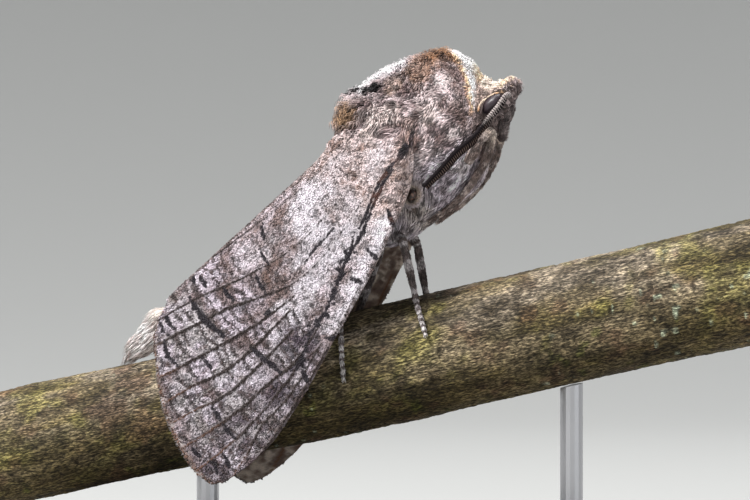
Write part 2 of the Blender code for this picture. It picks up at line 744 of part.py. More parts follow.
def add_legs(side_name, side, group, parent, to_moth, skin):
    """The two standing legs and the folded front one of one side."""
    for name, leg in STANDING_LEGS.items():
        hip = Vector((leg["hip"][0], side * leg["hip"][1], leg["hip"][2]))
        knee = to_moth(Vector((leg["knee"][0], side * leg["knee"][1], leg["knee"][2])))
        ankle = to_moth(Vector((leg["ankle"][0], side * leg["ankle"][1], leg["ankle"][2])))
        lift = LEG_RADII["foot"] + GAP + 0.05
        foot = [to_moth(point) for point in foot_points(leg["foot"], side, lift)]
        points = [skin.exit_point(hip, knee, GAP + 0.25), knee, ankle, *foot]
        radii = [LEG_RADII["thigh"], LEG_RADII["thigh"], LEG_RADII["shin"]]
        radii += [LEG_RADII["foot"]] * (len(foot) - 1) + [LEG_RADII["toe"]]
        tube(name + "_" + side_name, points, radii, group, "leg", parent)

    lift = LEG_RADII["shin"] + GAP + 0.12
    folded = [skin.lifted((x, side * y, z), lift) for x, y, z in FOLDED_LEG]
    smooth = [skin.pushed(row, lift) for row in smooth_rows(folded, 12)]
    smooth[0] = skin.lifted(folded[0], GAP + 0.2)
    radii = np.linspace(LEG_RADII["thigh"], LEG_RADII["toe"], len(smooth))
    tube("leg_fore_" + side_name, smooth, radii, group, "leg", parent)


def add_body(group, parent):
    """Part the body loft into abdomen, thorax, collar and head."""
    whole = body_loft()
    bmesh.ops.triangulate(whole, faces=whole.faces[:])
    bmesh.ops.recalc_face_normals(whole, faces=whole.faces[:])
    pieces = {
        "abdomen": ((WAIST_CUT, True),),
        "thorax": ((COLLAR_REAR_CUT, True), (WAIST_CUT, False)),
        "collar": ((NECK_CUT, True), (COLLAR_REAR_CUT, False)),
        "head": ((NECK_CUT, False), (COLLAR_REAR_CUT, False)),
    }
    looks = {"abdomen": "tail", "thorax": "fur", "collar": "collar", "head": "face"}
    nodes = {}
    for name, cuts in pieces.items():
        bm = whole.copy()
        for cut, keep_rear in cuts:
            cut_side(bm, cut, keep_rear)
        look = looks[name]
        nodes[name] = add_object(name, mesh_from(bm, name), group, look, parent)
    return whole, nodes


def add_tufts(nodes, skin, group):
    """Fuse the long locks of the coat to the parts that carry them."""
    draw = random.Random(7)
    for name, node in nodes.items():
        locks = []
        for tuft in TUFTS:
            if tuft["node"] != name:
                continue
            for row in range(tuft["rows"]):
                for number in range(tuft["around"]):
                    locks.append(one_lock(tuft, row, number, skin, draw))
        if locks:
            fuse(node, locks, group)


def one_lock(tuft, row, number, skin, draw):
    """One flat lock: its root under the skin, its length laid back along the body."""
    def vary(value):
        return value * (1.0 + draw.uniform(-LOCK_VARIATION, LOCK_VARIATION))

    first, last = tuft["along"]
    rows = max(1, tuft["rows"] - 1)
    along = first + (last - first) * row / rows + draw.uniform(-0.2, 0.2)
    low, high = tuft["turn"]
    share = (number + 0.5 * (row % 2)) / (tuft["around"] - 0.5)
    turn = math.radians(low + (high - low) * share)
    start = Vector((along, 0.0, 0.0))
    core = body_core(along)
    outer = core + Vector((0.0, math.sin(turn), -math.cos(turn))) * 30.0
    toward = (core - outer).normalized()
    place, normal, _, _ = skin.trees[0].ray_cast(outer * MM, toward)
    start = place / MM
    aim = Vector(tuft["aim"])
    aim -= normal * aim.dot(normal)
    aim = (aim.normalized() + normal * tuft["lift"]).normalized()
    length = vary(tuft["length"])
    width = vary(tuft["width"])
    across = aim.cross(normal)
    root = start - normal * 0.55 - aim * 0.5
    droop = normal * tuft["lift"] * 0.55 * length
    points = [root, start + aim * length * 0.45, start + aim * length - droop * 0.6]
    return taper(points, (width * 0.9, width * 0.85, 0.16), across, tuft["thickness"])


def body_core(along):
    """The middle of the body below a place on the back."""
    tops = sorted(((row[0] + row[2]) / 2, (row[1] + row[3]) / 2) for row in BODY_SECTIONS)
    return Vector((along, 0.0, float(np.interp(along, [t[0] for t in tops], [t[1] for t in tops]))))


def main():
    """Build the model."""
    clear_scene()
    group = collection_named("carpenter_moth")
    cutters = collection_named("cutters")
    moth = bpy.data.objects.new("moth_frame", None)
    group.objects.link(moth)
    moth.location = Vector(BACK_POINT) * MM
    moth.rotation_euler = (0.0, math.pi - CLIMB, 0.0)
    bpy.context.view_layer.update()
    inverse = moth.matrix_world.inverted()

    def to_moth(point):
        return (inverse @ (Vector(point) * MM)) / MM

    branch = add_branch(group)
    bpy.context.view_layer.update()
    add_stand(group, branch)
    whole, nodes = add_body(group, moth)
    skin = Skin(whole)
    for side_name, side in SIDES.items():
        add_wings(side_name, side, group, moth, skin)
        add_head_parts(side_name, side, group, cutters, moth, nodes["head"], skin)
        add_legs(side_name, side, group, moth, to_moth, skin)
    bpy.context.view_layer.update()
    add_tufts(nodes, skin, group)
    whole.free()


main()
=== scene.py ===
"""The finish of a carpenter moth at rest on a branch: skin, coat, wings, bark, stand and light.

Lengths are in millimetres and become metres with MM. The moth has a frame of its own: X runs
rearward along its back, Y to its left, Z from the back down. Wing places are (along, girth):
rearward, and round the roof of the folded wings from the ridge.
"""

import math

import bpy
import numpy as np
from mathutils import Matrix, Vector
from mathutils.bvhtree import BVHTree
from mathutils.kdtree import KDTree


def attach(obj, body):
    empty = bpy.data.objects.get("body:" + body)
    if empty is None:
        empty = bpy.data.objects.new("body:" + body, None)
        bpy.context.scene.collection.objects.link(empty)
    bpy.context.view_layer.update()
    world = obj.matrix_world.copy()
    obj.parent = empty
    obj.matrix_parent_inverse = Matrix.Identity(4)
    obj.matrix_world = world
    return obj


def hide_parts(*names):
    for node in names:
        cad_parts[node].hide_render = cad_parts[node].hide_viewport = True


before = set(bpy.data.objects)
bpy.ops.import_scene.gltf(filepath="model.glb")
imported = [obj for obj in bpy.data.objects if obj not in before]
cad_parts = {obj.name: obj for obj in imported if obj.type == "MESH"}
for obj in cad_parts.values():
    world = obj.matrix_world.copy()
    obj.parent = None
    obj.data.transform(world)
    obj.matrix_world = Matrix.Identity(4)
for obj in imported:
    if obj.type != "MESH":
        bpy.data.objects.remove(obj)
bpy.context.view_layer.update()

MM = 0.001
GAP = 0.3
SIDES = {"right": -1.0, "left": 1.0}

# The moth's place and climb, as in the solids
BACK_POINT = np.array((-4.66, 0.0, 56.47))
CLIMB = math.radians(41.9)

# The camera: where it looks, its side and height angles, its distance, the view's width there
LOOK_AT = Vector((0.0, 0.0, 42.0)) * MM
CAMERA_SIDE = math.radians(9.0)
CAMERA_HEIGHT = math.radians(0.0)
CAMERA_DISTANCE = 600.0 * MM
VIEW_WIDTH = 98.7 * MM
SENSOR = 36.0

# Body sections from tail to face: top (rearward, down), bottom (rearward, down), half width
BODY_SECTIONS = (
    (39.3, 1.9, 38.9, 3.1, 0.7),
    (38.2, 1.2, 37.6, 3.7, 1.6),
    (36.0, 0.8, 35.2, 4.5, 2.3),
    (33.0, 0.5, 31.8, 6.2, 3.0),
    (29.0, 1.5, 27.6, 8.6, 3.9),
    (24.0, 1.9, 23.0, 10.4, 4.6),
    (17.0, 2.0, 16.0, 12.3, 5.3),
    (10.0, 1.9, 9.5, 13.6, 5.8),
    (5.5, 1.8, 5.5, 14.4, 6.0),
    (3.2, 1.6, 3.7, 15.6, 6.9),
    (0.6, 0.9, 1.0, 16.3, 7.9),
    (-1.2, -1.2, -1.0, 16.5, 8.4),
    (-3.6, -2.7, -3.5, 16.7, 8.7),
    (-8.5, -3.2, -6.5, 17.0, 8.7),
    (-12.5, -2.4, -9.3, 17.1, 8.3),
    (-16.3, -0.8, -11.2, 16.6, 7.6),
    (-18.4, 0.5, -12.8, 15.7, 6.5),
    (-20.0, 3.4, -14.3, 15.0, 5.1),
    (-19.9, 6.7, -15.5, 14.1, 3.9),
    (-21.1, 8.3, -16.3, 13.6, 4.0),
    (-22.5, 9.1, -17.8, 12.8, 3.6),
    (-22.8, 9.9, -19.4, 12.2, 2.7),
    (-22.5, 10.6, -20.9, 11.5, 1.3),
)
BODY_SQUARENESS = 2.15
BODY_ROWS = 220
BODY_SIDES = 108
COAT_DEPTH = 0.45
FACE_RINGS = 14
FACE_BULGE = 0.9

EYE_MIDDLE = (-18.4, 3.25, 10.4)
EYE_HALF_SIZE = (1.75, 1.2, 0.95)
EYE_RIM_TUFTS = 300

# The wings' roof and outlines, as in the solids
ROOF_TURN = 16.0
ROOF_SLOPE = math.radians(78.0)
ROOF_FLARE = 1.5
ROOF_FLARE_END = 12.0
ROOF_FLARE_FULL = -2.0
ROOF_SINK = 0.5
ROOF_SINK_END = 16.0
COSTA = ((-8.3, 11.0), (-5.8, 14.2), (-2.7, 16.6), (0.5, 18.6), (6.6, 21.2), (15.6, 24.4),
         (26.2, 28.1), (32.1, 29.5), (36.2, 29.5), (39.3, 29.0), (40.9, 28.2))
HIND_MARGIN = ((-4.8, 6.4), (-2.2, 4.4), (0.3, 2.0), (2.0, 0.3), (8.0, 0.2), (16.0, 0.2),
               (23.5, 0.25), (26.5, 0.7), (29.1, 2.1), (31.3, 3.7))
OUTER_MARGIN = ((40.9, 28.2), (41.5, 25.4), (41.1, 21.6), (40.2, 17.9), (38.7, 14.2),
                (36.8, 10.8), (34.7, 7.1), (32.9, 5.0), (31.3, 3.7))
LEFT_WING_DROOP = math.radians(1.1)
LEFT_WING_SHIFT = 0.9
WING_THICKNESS = 0.5
HINDWING_START = 0.13
HINDWING_END = 0.80
HINDWING_EDGES = (0.16, 0.93)
HINDWING_DEPTH = WING_THICKNESS + GAP + 0.05
SKIN_CLEARANCE = GAP + 0.05
WING_ROWS = 210
WING_COLUMNS = 120
MEMBRANE = 0.14
# How high the membrane's outer face lies over the solid's inner face
MEMBRANE_LIFT = 0.36
# The membrane's colour under the scales, as a share of theirs: darker, as painted shade in the gaps between
# the scales
MEMBRANE_PAINTED_SHADE = 0.80
WING_SCALES = 40000
MARK_SCALES = 12000
SHOULDER_TUFTS = 5500
FRINGE_TUFTS = 2000
# The way that the wing's scales lie: rearward and a little down
SCALE_LIE = (1.0, 0.0, 0.25)
ROOT_SINK = 0.85

# Veins of the forewing as (along, depth below the ridge) lines from the outer margin inward
VEINS = (
    ((33.4, 2.4), (27.8, 3.6), (20.8, 5.9), (12.0, 7.6), (4.0, 7.0)),
    ((35.8, 4.7), (31.8, 5.6), (28.7, 6.6), (25.6, 7.3), (18.9, 10.1), (16.6, 10.9), (9.0, 10.8),
     (1.0, 9.0)),
    ((38.4, 8.1), (33.2, 9.4), (28.5, 10.6), (20.6, 12.1), (17.0, 12.3)),
    ((39.6, 11.1), (34.2, 12.3), (30.0, 13.6), (25.6, 13.8), (18.5, 13.4)),
    ((40.6, 13.8), (36.3, 14.8), (32.9, 15.9), (27.2, 16.1), (20.0, 15.6)),
    ((41.2, 17.3), (36.3, 18.2), (31.5, 18.7), (26.2, 18.7), (22.7, 19.0), (17.0, 17.6)),
    ((41.3, 20.9), (36.5, 21.2), (32.9, 21.2), (27.9, 20.7), (21.0, 19.3)),
    ((38.6, 24.8), (35.2, 23.9), (31.0, 22.2), (27.1, 22.0), (18.0, 19.4)),
    ((34.9, 25.2), (31.1, 24.5), (26.3, 23.2), (16.0, 19.8), (8.0, 16.6)),
    ((22.0, 1.0), (15.7, 1.7), (9.7, 2.2), (3.6, 2.4), (-2.0, 3.6)),
)
# The long dark streak along the front veins, its thin twin, and the dark dashes across the wing
STREAK = ((-9.0, 6.6), (-7.5, 7.5), (-5.6, 8.2), (-2.5, 9.0), (0.2, 10.2), (3.6, 11.7), (5.2, 12.4),
          (8.2, 13.3), (10.8, 14.5), (13.0, 15.7), (16.2, 17.0), (18.3, 17.5), (20.6, 18.7), (22.8, 19.8))
STREAK_TWIN = ((-3.7, 8.1), (-1.5, 8.8), (0.3, 9.6), (2.3, 10.6), (4.4, 11.5))
DASHES = (
    (((25.5, 13.7), (25.2, 16.2), (24.6, 18.6)), 0.36),
    (((27.9, 2.9), (28.1, 4.6), (28.0, 6.7), (27.4, 10.0)), 0.42),
    (((0.2, 12.4), (0.6, 13.4), (0.9, 14.6)), 0.30),
    (((5.5, 14.4), (5.4, 15.2), (5.2, 16.2)), 0.26),
    (((9.6, 15.6), (9.2, 16.4), (8.8, 17.2)), 0.24),
    (((17.2, 19.2), (16.6, 19.9), (16.0, 20.4)), 0.30),
    (((22.2, 20.2), (22.5, 21.2), (22.7, 22.4)), 0.30),
    (((14.4, 2.2), (15.0, 3.0), (15.3, 4.0)), 0.26),
    (((16.6, 4.4), (16.8, 5.6), (16.8, 7.1)), 0.20),
    (((23.5, 5.2), (23.7, 6.2), (23.4, 7.2)), 0.24),
    (((20.6, 11.3), (20.9, 11.6), (21.4, 11.4)), 0.34),
    (((19.0, 6.8), (19.5, 8.4), (19.6, 9.8)), 0.24),
    (((31.3, 10.2), (31.4, 11.6), (31.7, 12.7)), 0.22),
    (((34.8, 18.7), (34.9, 19.8), (34.8, 20.9)), 0.34),
    (((34.6, 15.9), (34.6, 17.0), (34.7, 18.0)), 0.24),
    (((40.0, 18.2), (40.0, 19.0), (39.8, 19.8)), 0.22),
    (((33.9, 4.9), (34.8, 6.8), (34.6, 8.8)), 0.24),
    (((32.0, 2.8), (32.1, 3.8), (31.9, 4.9)), 0.22),
    (((33.0, 2.8), (33.4, 3.9), (33.1, 4.9)), 0.22),
    (((26.1, 0.8), (26.3, 1.3), (26.4, 1.9)), 0.26),
    (((25.4, 1.8), (25.2, 2.6), (25.3, 3.4)), 0.24),
    (((7.0, 9.1), (9.0, 9.4), (11.0, 9.5), (13.0, 10.0)), 0.11),
    (((5.4, 11.5), (7.4, 12.8), (9.0, 13.5)), 0.11),
    (((39.2, 20.9), (39.1, 21.9), (39.4, 22.8)), 0.18),
    (((37.3, 21.4), (37.4, 22.4), (37.8, 23.4)), 0.20),
)
# White and brown grounds of the wing: lines of (along, depth below the ridge), radii and strengths
WHITE_GROUNDS = (
    (((5.8, 4.8), (7.2, 3.4), (9.2, 4.4), (9.6, 6.6), (8.6, 8.4)), 2.1, 0.92),
    (((0.6, 3.4), (3.8, 4.4)), 1.6, 0.4),
    (((3.6, 8.0), (4.4, 9.4), (4.2, 12.2)), 2.0, 0.5),
    (((11.2, 8.6), (13.2, 9.4)), 1.1, 0.75),
    (((-4.4, 6.4), (-1.8, 7.6)), 1.2, 0.45),
    (((28.9, 4.2), (29.2, 8.0), (28.8, 12.4)), 1.1, 0.62),
    (((26.6, 2.0), (30.6, 3.2)), 0.9, 0.5),
    (((35.0, 10.4), (37.4, 12.4), (36.8, 15.2)), 1.1, 0.55),
    (((21.4, 14.4), (23.2, 15.4), (22.6, 17.8)), 1.0, 0.60),
    (((23.0, 20.6), (26.6, 21.4)), 0.9, 0.65),
    (((14.6, 4.6), (15.6, 5.4)), 0.8, 0.5),
    (((36.2, 22.6), (39.0, 22.9)), 0.9, 0.5),
    (((6.4, 11.0), (11.0, 12.0), (15.0, 12.6), (16.0, 13.6)), 1.7, 0.82),
    (((18.8, 12.8), (18.5, 15.0)), 1.0, 0.95),
    (((18.4, 3.2), (20.0, 3.2)), 0.6, 0.6),
    (((17.2, 4.6), (19.6, 4.6)), 0.7, 0.5),
    (((1.2, 13.6), (4.8, 15.0), (8.0, 16.2), (12.0, 17.7), (15.6, 18.6)), 1.25, 0.95),
    (((26.8, 14.6), (32.0, 14.3)), 0.8, 0.5),
    (((26.0, 17.2), (27.6, 17.3)), 0.7, 0.5),
    (((31.2, 17.0), (33.4, 17.0)), 0.7, 0.5),
)
BROWN_GROUNDS = (
    (((16.6, 7.0), (17.8, 7.8), (18.6, 9.2)), 1.1, 0.95),
    (((11.0, 3.0), (13.0, 4.4), (13.4, 6.6)), 1.7, 0.5),
    (((15.4, 10.2), (19.0, 10.8), (23.4, 10.8)), 1.2, 0.75),
    (((20.8, 12.2), (21.0, 13.4)), 0.9, 0.5),
    (((20.6, 1.0), (21.2, 4.2), (23.0, 5.4)), 1.2, 0.75),
    (((39.4, 14.4), (40.4, 17.6), (40.6, 20.4)), 1.0, 0.6),
    (((24.6, 12.2), (24.4, 13.2)), 0.7, 0.5),
)
# The dark cloud behind the streak, as places with radii
CLOUDS = (((20.0, 17.4), 3.4), ((22.4, 19.0), 2.2), ((26.8, 20.2), 2.0), ((32.0, 20.2), 1.3))

# Feelers, palps and legs, as in the solids
ANTENNA_PATH = ((-20.2, 10.9), (-18.9, 11.2), (-16.1, 11.5), (-14.3, 12.0), (-11.0, 12.2),
                (-7.9, 12.5), (-5.0, 12.7))
ANTENNA_ROOT = (-20.7, 3.0, 10.8)
ANTENNA_RADIUS = 0.31
ANTENNA_TIP_RADIUS = 0.25
ANTENNA_RISE = 0.22
VANE_HALF_WIDTH = 0.46
FEELER_RINGS = 55
FEELER_SCALES = 240
PALP_LINE = ((-16.2, 1.1, 14.4), (-18.2, 1.3, 13.6), (-20.0, 1.2, 12.9))
PALP_RADIUS = 0.42
FOOT_RADIUS = 0.34
STANDING_LEGS = {
    "leg_mid": ((1.2, 4.2, 13.0), (4.75, 5.9, 42.6), (5.97, 5.0, 36.6), (6.4, 50.0), (7.9, 17.0)),
    "leg_hind": ((3.6, 3.6, 12.5), (-1.6, 7.3, 38.6), (-3.6, 6.9, 33.0), (-3.4, 37.0), (-2.8, -6.0)),
}
# Radii of a standing leg at hip, knee and ankle and along its foot
LEG_KNOT_RADII = (0.50, 0.52, 0.36, 0.24, 0.24, 0.24, 0.16)
# Spurs of the standing legs as (share along the leg, side)
SPURS = {
    "leg_mid": ((0.31, 1.0), (0.32, -1.0)),
    "leg_hind": ((0.24, 1.0), (0.25, -1.0), (0.32, 1.0), (0.33, -1.0)),
}
FOLDED_THIGH = ((-11.0, 14.0), (-13.4, 13.0), (-15.3, 12.4), (-13.9, 14.2))
FOLDED_SHIN = ((-11.0, 4.6, 16.2), (-6.5, 3.9, 18.0), (-2.0, 3.7, 17.9))

# The knob at the front wing's joint: (rearward, down), half sizes and the hair-scales round it
BOSS_PLACE = (-3.1, 12.3)
BOSS_HALF_SIZE = (0.74, 0.50, 0.70)
BOSS_TUFTS = 800

# The branch, as in the solids
BRANCH_HALF_LENGTH = 51.5
BRANCH_MIDDLE_HEIGHT = 26.65
BRANCH_RISE = math.radians(12.7)
BRANCH_RADIUS_LOW_END = 7.45
BRANCH_RADIUS_HIGH_END = 8.1
BRANCH_ROUGHNESS = 0.22
BRANCH_RINGS = 460
BRANCH_SIDES = 124
YEAR_RINGS = 9.0
# The bark's fibres, coarse and fine: length, thickness, and the shades between and on them
BARK_FIBRES = ((1.1, 0.26, 0.45, 1.80), (0.5, 0.17, 0.42, 1.85))


def rgb(*colour):
    """A display colour from 0 to 255 as linear light."""
    share = np.array(colour, dtype=float) / 255.0
    return np.where(share <= 0.04045, share / 12.92, ((share + 0.055) / 1.055) ** 2.4)


# The collar's rear rim as a line of (rearward, down), and the neck's as its top and bottom points
COLLAR_RIM = ((-18.9, -1.0), (-18.9, 1.7), (-19.0, 3.2), (-18.8, 4.5), (-18.3, 6.2), (-17.3, 7.9),
              (-16.1, 9.7), (-13.0, 14.0))
NECK_LINE = ((-20.3, 4.6), (-18.6, 10.0))


def to_world(points):
    """Moth-frame millimetres as world metres."""
    points = np.atleast_2d(points)
    rearward = np.array((-math.cos(CLIMB), 0.0, -math.sin(CLIMB)))
    down = np.array((math.sin(CLIMB), 0.0, -math.cos(CLIMB)))
    leftward = np.array((0.0, 1.0, 0.0))
    placed = points[:, :1] * rearward + points[:, 1:2] * leftward + points[:, 2:3] * down
    return (BACK_POINT + placed) * MM


def to_moth(points):
    """World metres as moth-frame millimetres."""
    offset = np.atleast_2d(points) / MM - BACK_POINT
    along = -offset[:, 0] * math.cos(CLIMB) - offset[:, 2] * math.sin(CLIMB)
    down = offset[:, 0] * math.sin(CLIMB) - offset[:, 2] * math.cos(CLIMB)
    return np.stack([along, offset[:, 1], down], axis=1)


def unit(vectors):
    """Vectors of length one."""
    return vectors / np.maximum(np.linalg.norm(vectors, axis=1, keepdims=True), 1e-12)


def mix(a, b, share):
    """Blend colours by a share for each row. A plain tuple is a display colour from 0 to 255."""
    a, b = (rgb(*colour) if isinstance(colour, tuple) else colour for colour in (a, b))
    return a + (b - a) * np.clip(share, 0.0, 1.0)[:, None]


def ease(low, high, values):
    """0 below low, 1 above high and smooth between."""
    share = np.clip((values - low) / (high - low), 0.0, 1.0)
    return share * share * (3.0 - 2.0 * share)


def noise(points, size, seed):
    """Smooth noise from 0 to 1 with features about size across."""
    place = np.atleast_2d(points) / size + seed * 17.13
    if place.shape[1] == 2:
        place = np.column_stack([place, np.full(len(place), 0.5)])
    cell = np.floor(place).astype(np.int64)
    part = place - cell
    part = part * part * (3.0 - 2.0 * part)
    total = np.zeros(len(place))
    for corner in range(8):
        step = np.array([(corner >> axis) & 1 for axis in range(3)])
        c = cell + step
        code = (c[:, 0] * 73856093) ^ (c[:, 1] * 19349663) ^ (c[:, 2] * 83492791) ^ (seed * 7919)
        code = ((code ^ (code >> 13)) * 1274126177) & 0xFFFFFFFF
        code = code ^ (code >> 15)
        value = (code & 0xFFFF) / 65535.0
        weight = np.prod(np.where(step, part, 1.0 - part), axis=1)
        total += value * weight
    return total


def layered(points, size, seed, layers=3):
    """Noise with finer noise on it, from 0 to 1."""
    total = sum(noise(points, size / 2**k, seed + k) / 2**k for k in range(layers))
    return total / sum(1.0 / 2**k for k in range(layers))


def distance_to_line(places, line):
    """Distance of flat places from a line of points, and how far along it from 0 to 1."""
    line = np.array(line, dtype=float)
    best = np.full(len(places), 1e9)
    share = np.zeros(len(places))
    lengths = np.linalg.norm(np.diff(line, axis=0), axis=1)
    before = np.concatenate([[0.0], np.cumsum(lengths)])
    for k in range(len(line) - 1):
        step = line[k + 1] - line[k]
        u = np.clip(((places - line[k]) @ step) / (step @ step), 0.0, 1.0)
        gap = np.linalg.norm(places - (line[k] + u[:, None] * step), axis=1)
        nearer = gap < best
        best = np.where(nearer, gap, best)
        share = np.where(nearer, (before[k] + u * lengths[k]) / before[-1], share)
    return best, share


def smooth_rows(rows, count):
    """Count rows along a smooth curve through the given rows of numbers."""
    points = np.array(rows, dtype=float)
    steps = np.linalg.norm(np.diff(points, axis=0), axis=1)
    knots = np.concatenate([[0.0], np.cumsum(steps)])
    knots = knots / knots[-1]
    slopes = np.gradient(points, knots, axis=0)
    places = np.linspace(0.0, 1.0, count)
    index = np.clip(np.searchsorted(knots, places, side="right") - 1, 0, len(knots) - 2)
    width = (knots[index + 1] - knots[index])[:, None]
    u = ((places - knots[index]) / width[:, 0])[:, None]
    return (
        (2 * u**3 - 3 * u**2 + 1) * points[index]
        + (u**3 - 2 * u**2 + u) * width * slopes[index]
        + (3 * u**2 - 2 * u**3) * points[index + 1]
        + (u**3 - u**2) * width * slopes[index + 1]
    )


def grid_faces(rows, columns, closed=False):
    """Quads between the points of a grid, closed round each row where asked."""
    lower = np.arange(rows - 1)[:, None] * columns
    across = np.arange(columns if closed else columns - 1)[None, :]
    following = (across + 1) % columns
    quads = np.stack([lower + across, lower + following, lower + columns + following,
                      lower + columns + across], axis=-1)
    return quads.reshape(-1, 4)


def make_piece(name, points, faces, material, colours=None, uv=None, replaces=()):
    """A piece of the model from world points and faces, with its colours and bake map."""
    mesh = bpy.data.meshes.new(name)
    sizes = np.concatenate([np.full(len(block), block.shape[1]) for block in faces])
    corners = np.concatenate([block.reshape(-1) for block in faces]).astype(np.int32)
    mesh.vertices.add(len(points))
    mesh.vertices.foreach_set("co", np.asarray(points, dtype=np.float32).reshape(-1))
    mesh.loops.add(len(corners))
    mesh.loops.foreach_set("vertex_index", corners)
    mesh.polygons.add(len(sizes))
    mesh.polygons.foreach_set("loop_start", np.concatenate([[0], np.cumsum(sizes)[:-1]]).astype(np.int32))
    mesh.polygons.foreach_set("use_smooth", np.ones(len(sizes), dtype=bool))
    mesh.update(calc_edges=True)
    if colours is not None:
        layer = mesh.color_attributes.new("coat", "FLOAT_COLOR", "POINT")
        rows = np.column_stack([np.clip(colours, 0.0, 1.0), np.ones(len(colours))])
        layer.data.foreach_set("color", rows.astype(np.float32).reshape(-1))
    if uv is not None:
        layer = mesh.uv_layers.new(name="OFBake")
        layer.data.foreach_set("uv", np.asarray(uv, dtype=np.float32)[corners].reshape(-1))
    mesh.materials.append(material)
    piece = bpy.data.objects.new(name, mesh)
    bpy.context.scene.collection.objects.link(piece)
    if replaces:
        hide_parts(*replaces)
    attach(piece, "root")
    return piece


# Faces and bake map of a tuft (left, right and ridge at its base and its middle, then its tip) and
# of a scale (root, two rear corners and ridge)
TUFT_FACES = (((0, 1, 4, 3), (1, 2, 5, 4), (2, 0, 3, 5)), ((3, 4, 6), (4, 5, 6), (5, 3, 6), (0, 2, 1)))
TUFT_MAP = ((0, -1), (0, 1), (0, 0), (1, -1), (1, 1), (1, 0), (2, 0))
SCALE_FACES = (((0, 2, 1), (0, 1, 3), (0, 3, 2), (1, 2, 3)),)
SCALE_MAP = ((0, 0), (2, -1), (2, 1), (1.5, 0))


def make_many(name, points, blocks, shades, patch, colour, uv, material):
    """A piece of many small closed forms, each with the same faces, shades and patch of the map."""
    start = np.arange(len(colour))[:, None] * len(points)
    faces = [np.concatenate([start + np.array(face) for face in block]) for block in blocks]
    colours = (colour[:, None, :] * np.array(shades)[None, :, None]).reshape(-1, 3)
    maps = (uv[:, None, :] + np.array(patch)[None, :, :] * 0.0012).reshape(-1, 2)
    places = to_world(np.stack(points, axis=1).reshape(-1, 3))
    return make_piece(name, places, faces, material, colours, maps)


def laid(lie, normal):
    """The way along a surface nearest to a wanted one, and the way across it."""
    along = unit(lie - normal * np.sum(lie * normal, axis=1, keepdims=True))
    return along, np.cross(normal, along)


def make_tufts(name, root, normal, lie, length, width, colour, uv, material, lift, sink=0.15,
               root_painted_shade=0.62):
    """Thin tapered tufts, each a closed blade with a ridge, from roots under the surface."""
    along, side = laid(lie, normal)
    length, width, lift = (np.broadcast_to(value, (len(root),))[:, None] for value in (length, width, lift))
    base = root - normal * sink - along * length * 0.12
    middle = root + along * length * 0.5 + normal * length * lift * 0.6
    tip = root + along * length + normal * length * lift * 0.5
    ridge = normal * width * 0.38
    points = [base - side * width * 0.4, base + side * width * 0.4, base + ridge,
              middle - side * width * 0.5, middle + side * width * 0.5, middle + ridge, tip]
    # Each tuft is darker at its base, as painted shade deep in the coat, and a little paler at its tip
    shades = [root_painted_shade] * 3 + [1.0] * 3 + [1.12]
    return make_many(name, points, TUFT_FACES, shades, TUFT_MAP, colour, uv, material)


def make_scales(name, root, normal, lie, length, width, colour, uv, material, lift=0.16):
    """Small blunt overlapping scales, each a closed wedge."""
    along, side = laid(lie, normal)
    length, width = length[:, None], width[:, None]
    rise = np.broadcast_to(lift, (len(root),))[:, None] * length
    points = [root - normal * 0.03, root + along * length - side * width / 2 + normal * rise * 0.7,
              root + along * length + side * width / 2 + normal * rise * 0.7,
              root + along * length * 0.8 + normal * rise * 1.35]
    # Each scale is darker at its root, as painted shade where it lies under its neighbours, and a little
    # paler at its raised ridge
    shades = (0.7, 1.0, 1.0, 1.05)
    return make_many(name, points, SCALE_FACES, shades, SCALE_MAP, colour, uv, material)


# Materials

def new_material(name, roughness, colour=None):
    """A Principled material, its tree, and its shader."""
    material = bpy.data.materials.new(name)
    material.use_nodes = True
    tree = material.node_tree
    shader = tree.nodes["Principled BSDF"]
    shader.inputs["Roughness"].default_value = roughness
    if colour is not None:
        shader.inputs["Base Color"].default_value = (*colour, 1.0)
    return material, tree, shader


def add_node(tree, kind, values=(), links=(), **settings):
    """A shader node with its settings, its input values and the sockets that feed it."""
    node = tree.nodes.new("ShaderNode" + kind)
    for name, value in settings.items():
        setattr(node, name, value)
    for name, value in dict(values).items():
        node.inputs[name].default_value = value
    for name, socket in dict(links).items():
        tree.links.new(socket, node.inputs[name])
    return node


def noise_node(tree, scale, detail=2.0, vector=None):
    """A noise texture in object space, its scale in features per metre."""
    if vector is None:
        vector = add_node(tree, "TexCoord").outputs["Object"]
    return add_node(tree, "TexNoise", {"Scale": scale, "Detail": detail}, {"Vector": vector})


def add_bump(tree, shader, height, strength, distance):
    """Bump on a shader from a height socket."""
    bump = add_node(tree, "Bump", {"Strength": strength, "Distance": distance}, {"Height": height})
    tree.links.new(bump.outputs["Normal"], shader.inputs["Normal"])


def carried(tree, value, low, high, start, end, kind="LINEAR"):
    """A value carried from the range low to high into the range start to end."""
    node = add_node(tree, "MapRange", {"From Min": low, "From Max": high, "To Min": start, "To Max": end},
                    {"Value": value}, interpolation_type=kind)
    return node.outputs["Result"]


def paint_with_shade(tree, shader, shade):
    """The colours painted on the piece's points, made darker or lighter by a shade."""
    paint = add_node(tree, "VertexColor", layer_name="coat").outputs["Color"]
    shaded = add_node(tree, "VectorMath", {}, {0: paint, "Scale": shade}, operation="SCALE")
    tree.links.new(shaded.outputs["Vector"], shader.inputs["Base Color"])


def painted_material(name, roughness, grain_size, grain, bump, sheen=0.0, specular=0.3):
    """A surface that wears its painted colour, broken up by fine grain."""
    material, tree, shader = new_material(name, roughness)
    shader.inputs["Specular IOR Level"].default_value = specular
    shader.inputs["Sheen Weight"].default_value = sheen
    shader.inputs["Sheen Roughness"].default_value = 0.4
    fine = noise_node(tree, 1.0 / (grain_size * MM), 3.0).outputs["Fac"]
    paint_with_shade(tree, shader, carried(tree, fine, 0.3, 0.7, 1.0 - grain, 1.0 + grain))
    if bump:
        add_bump(tree, shader, fine, bump, grain_size * MM)
    return material


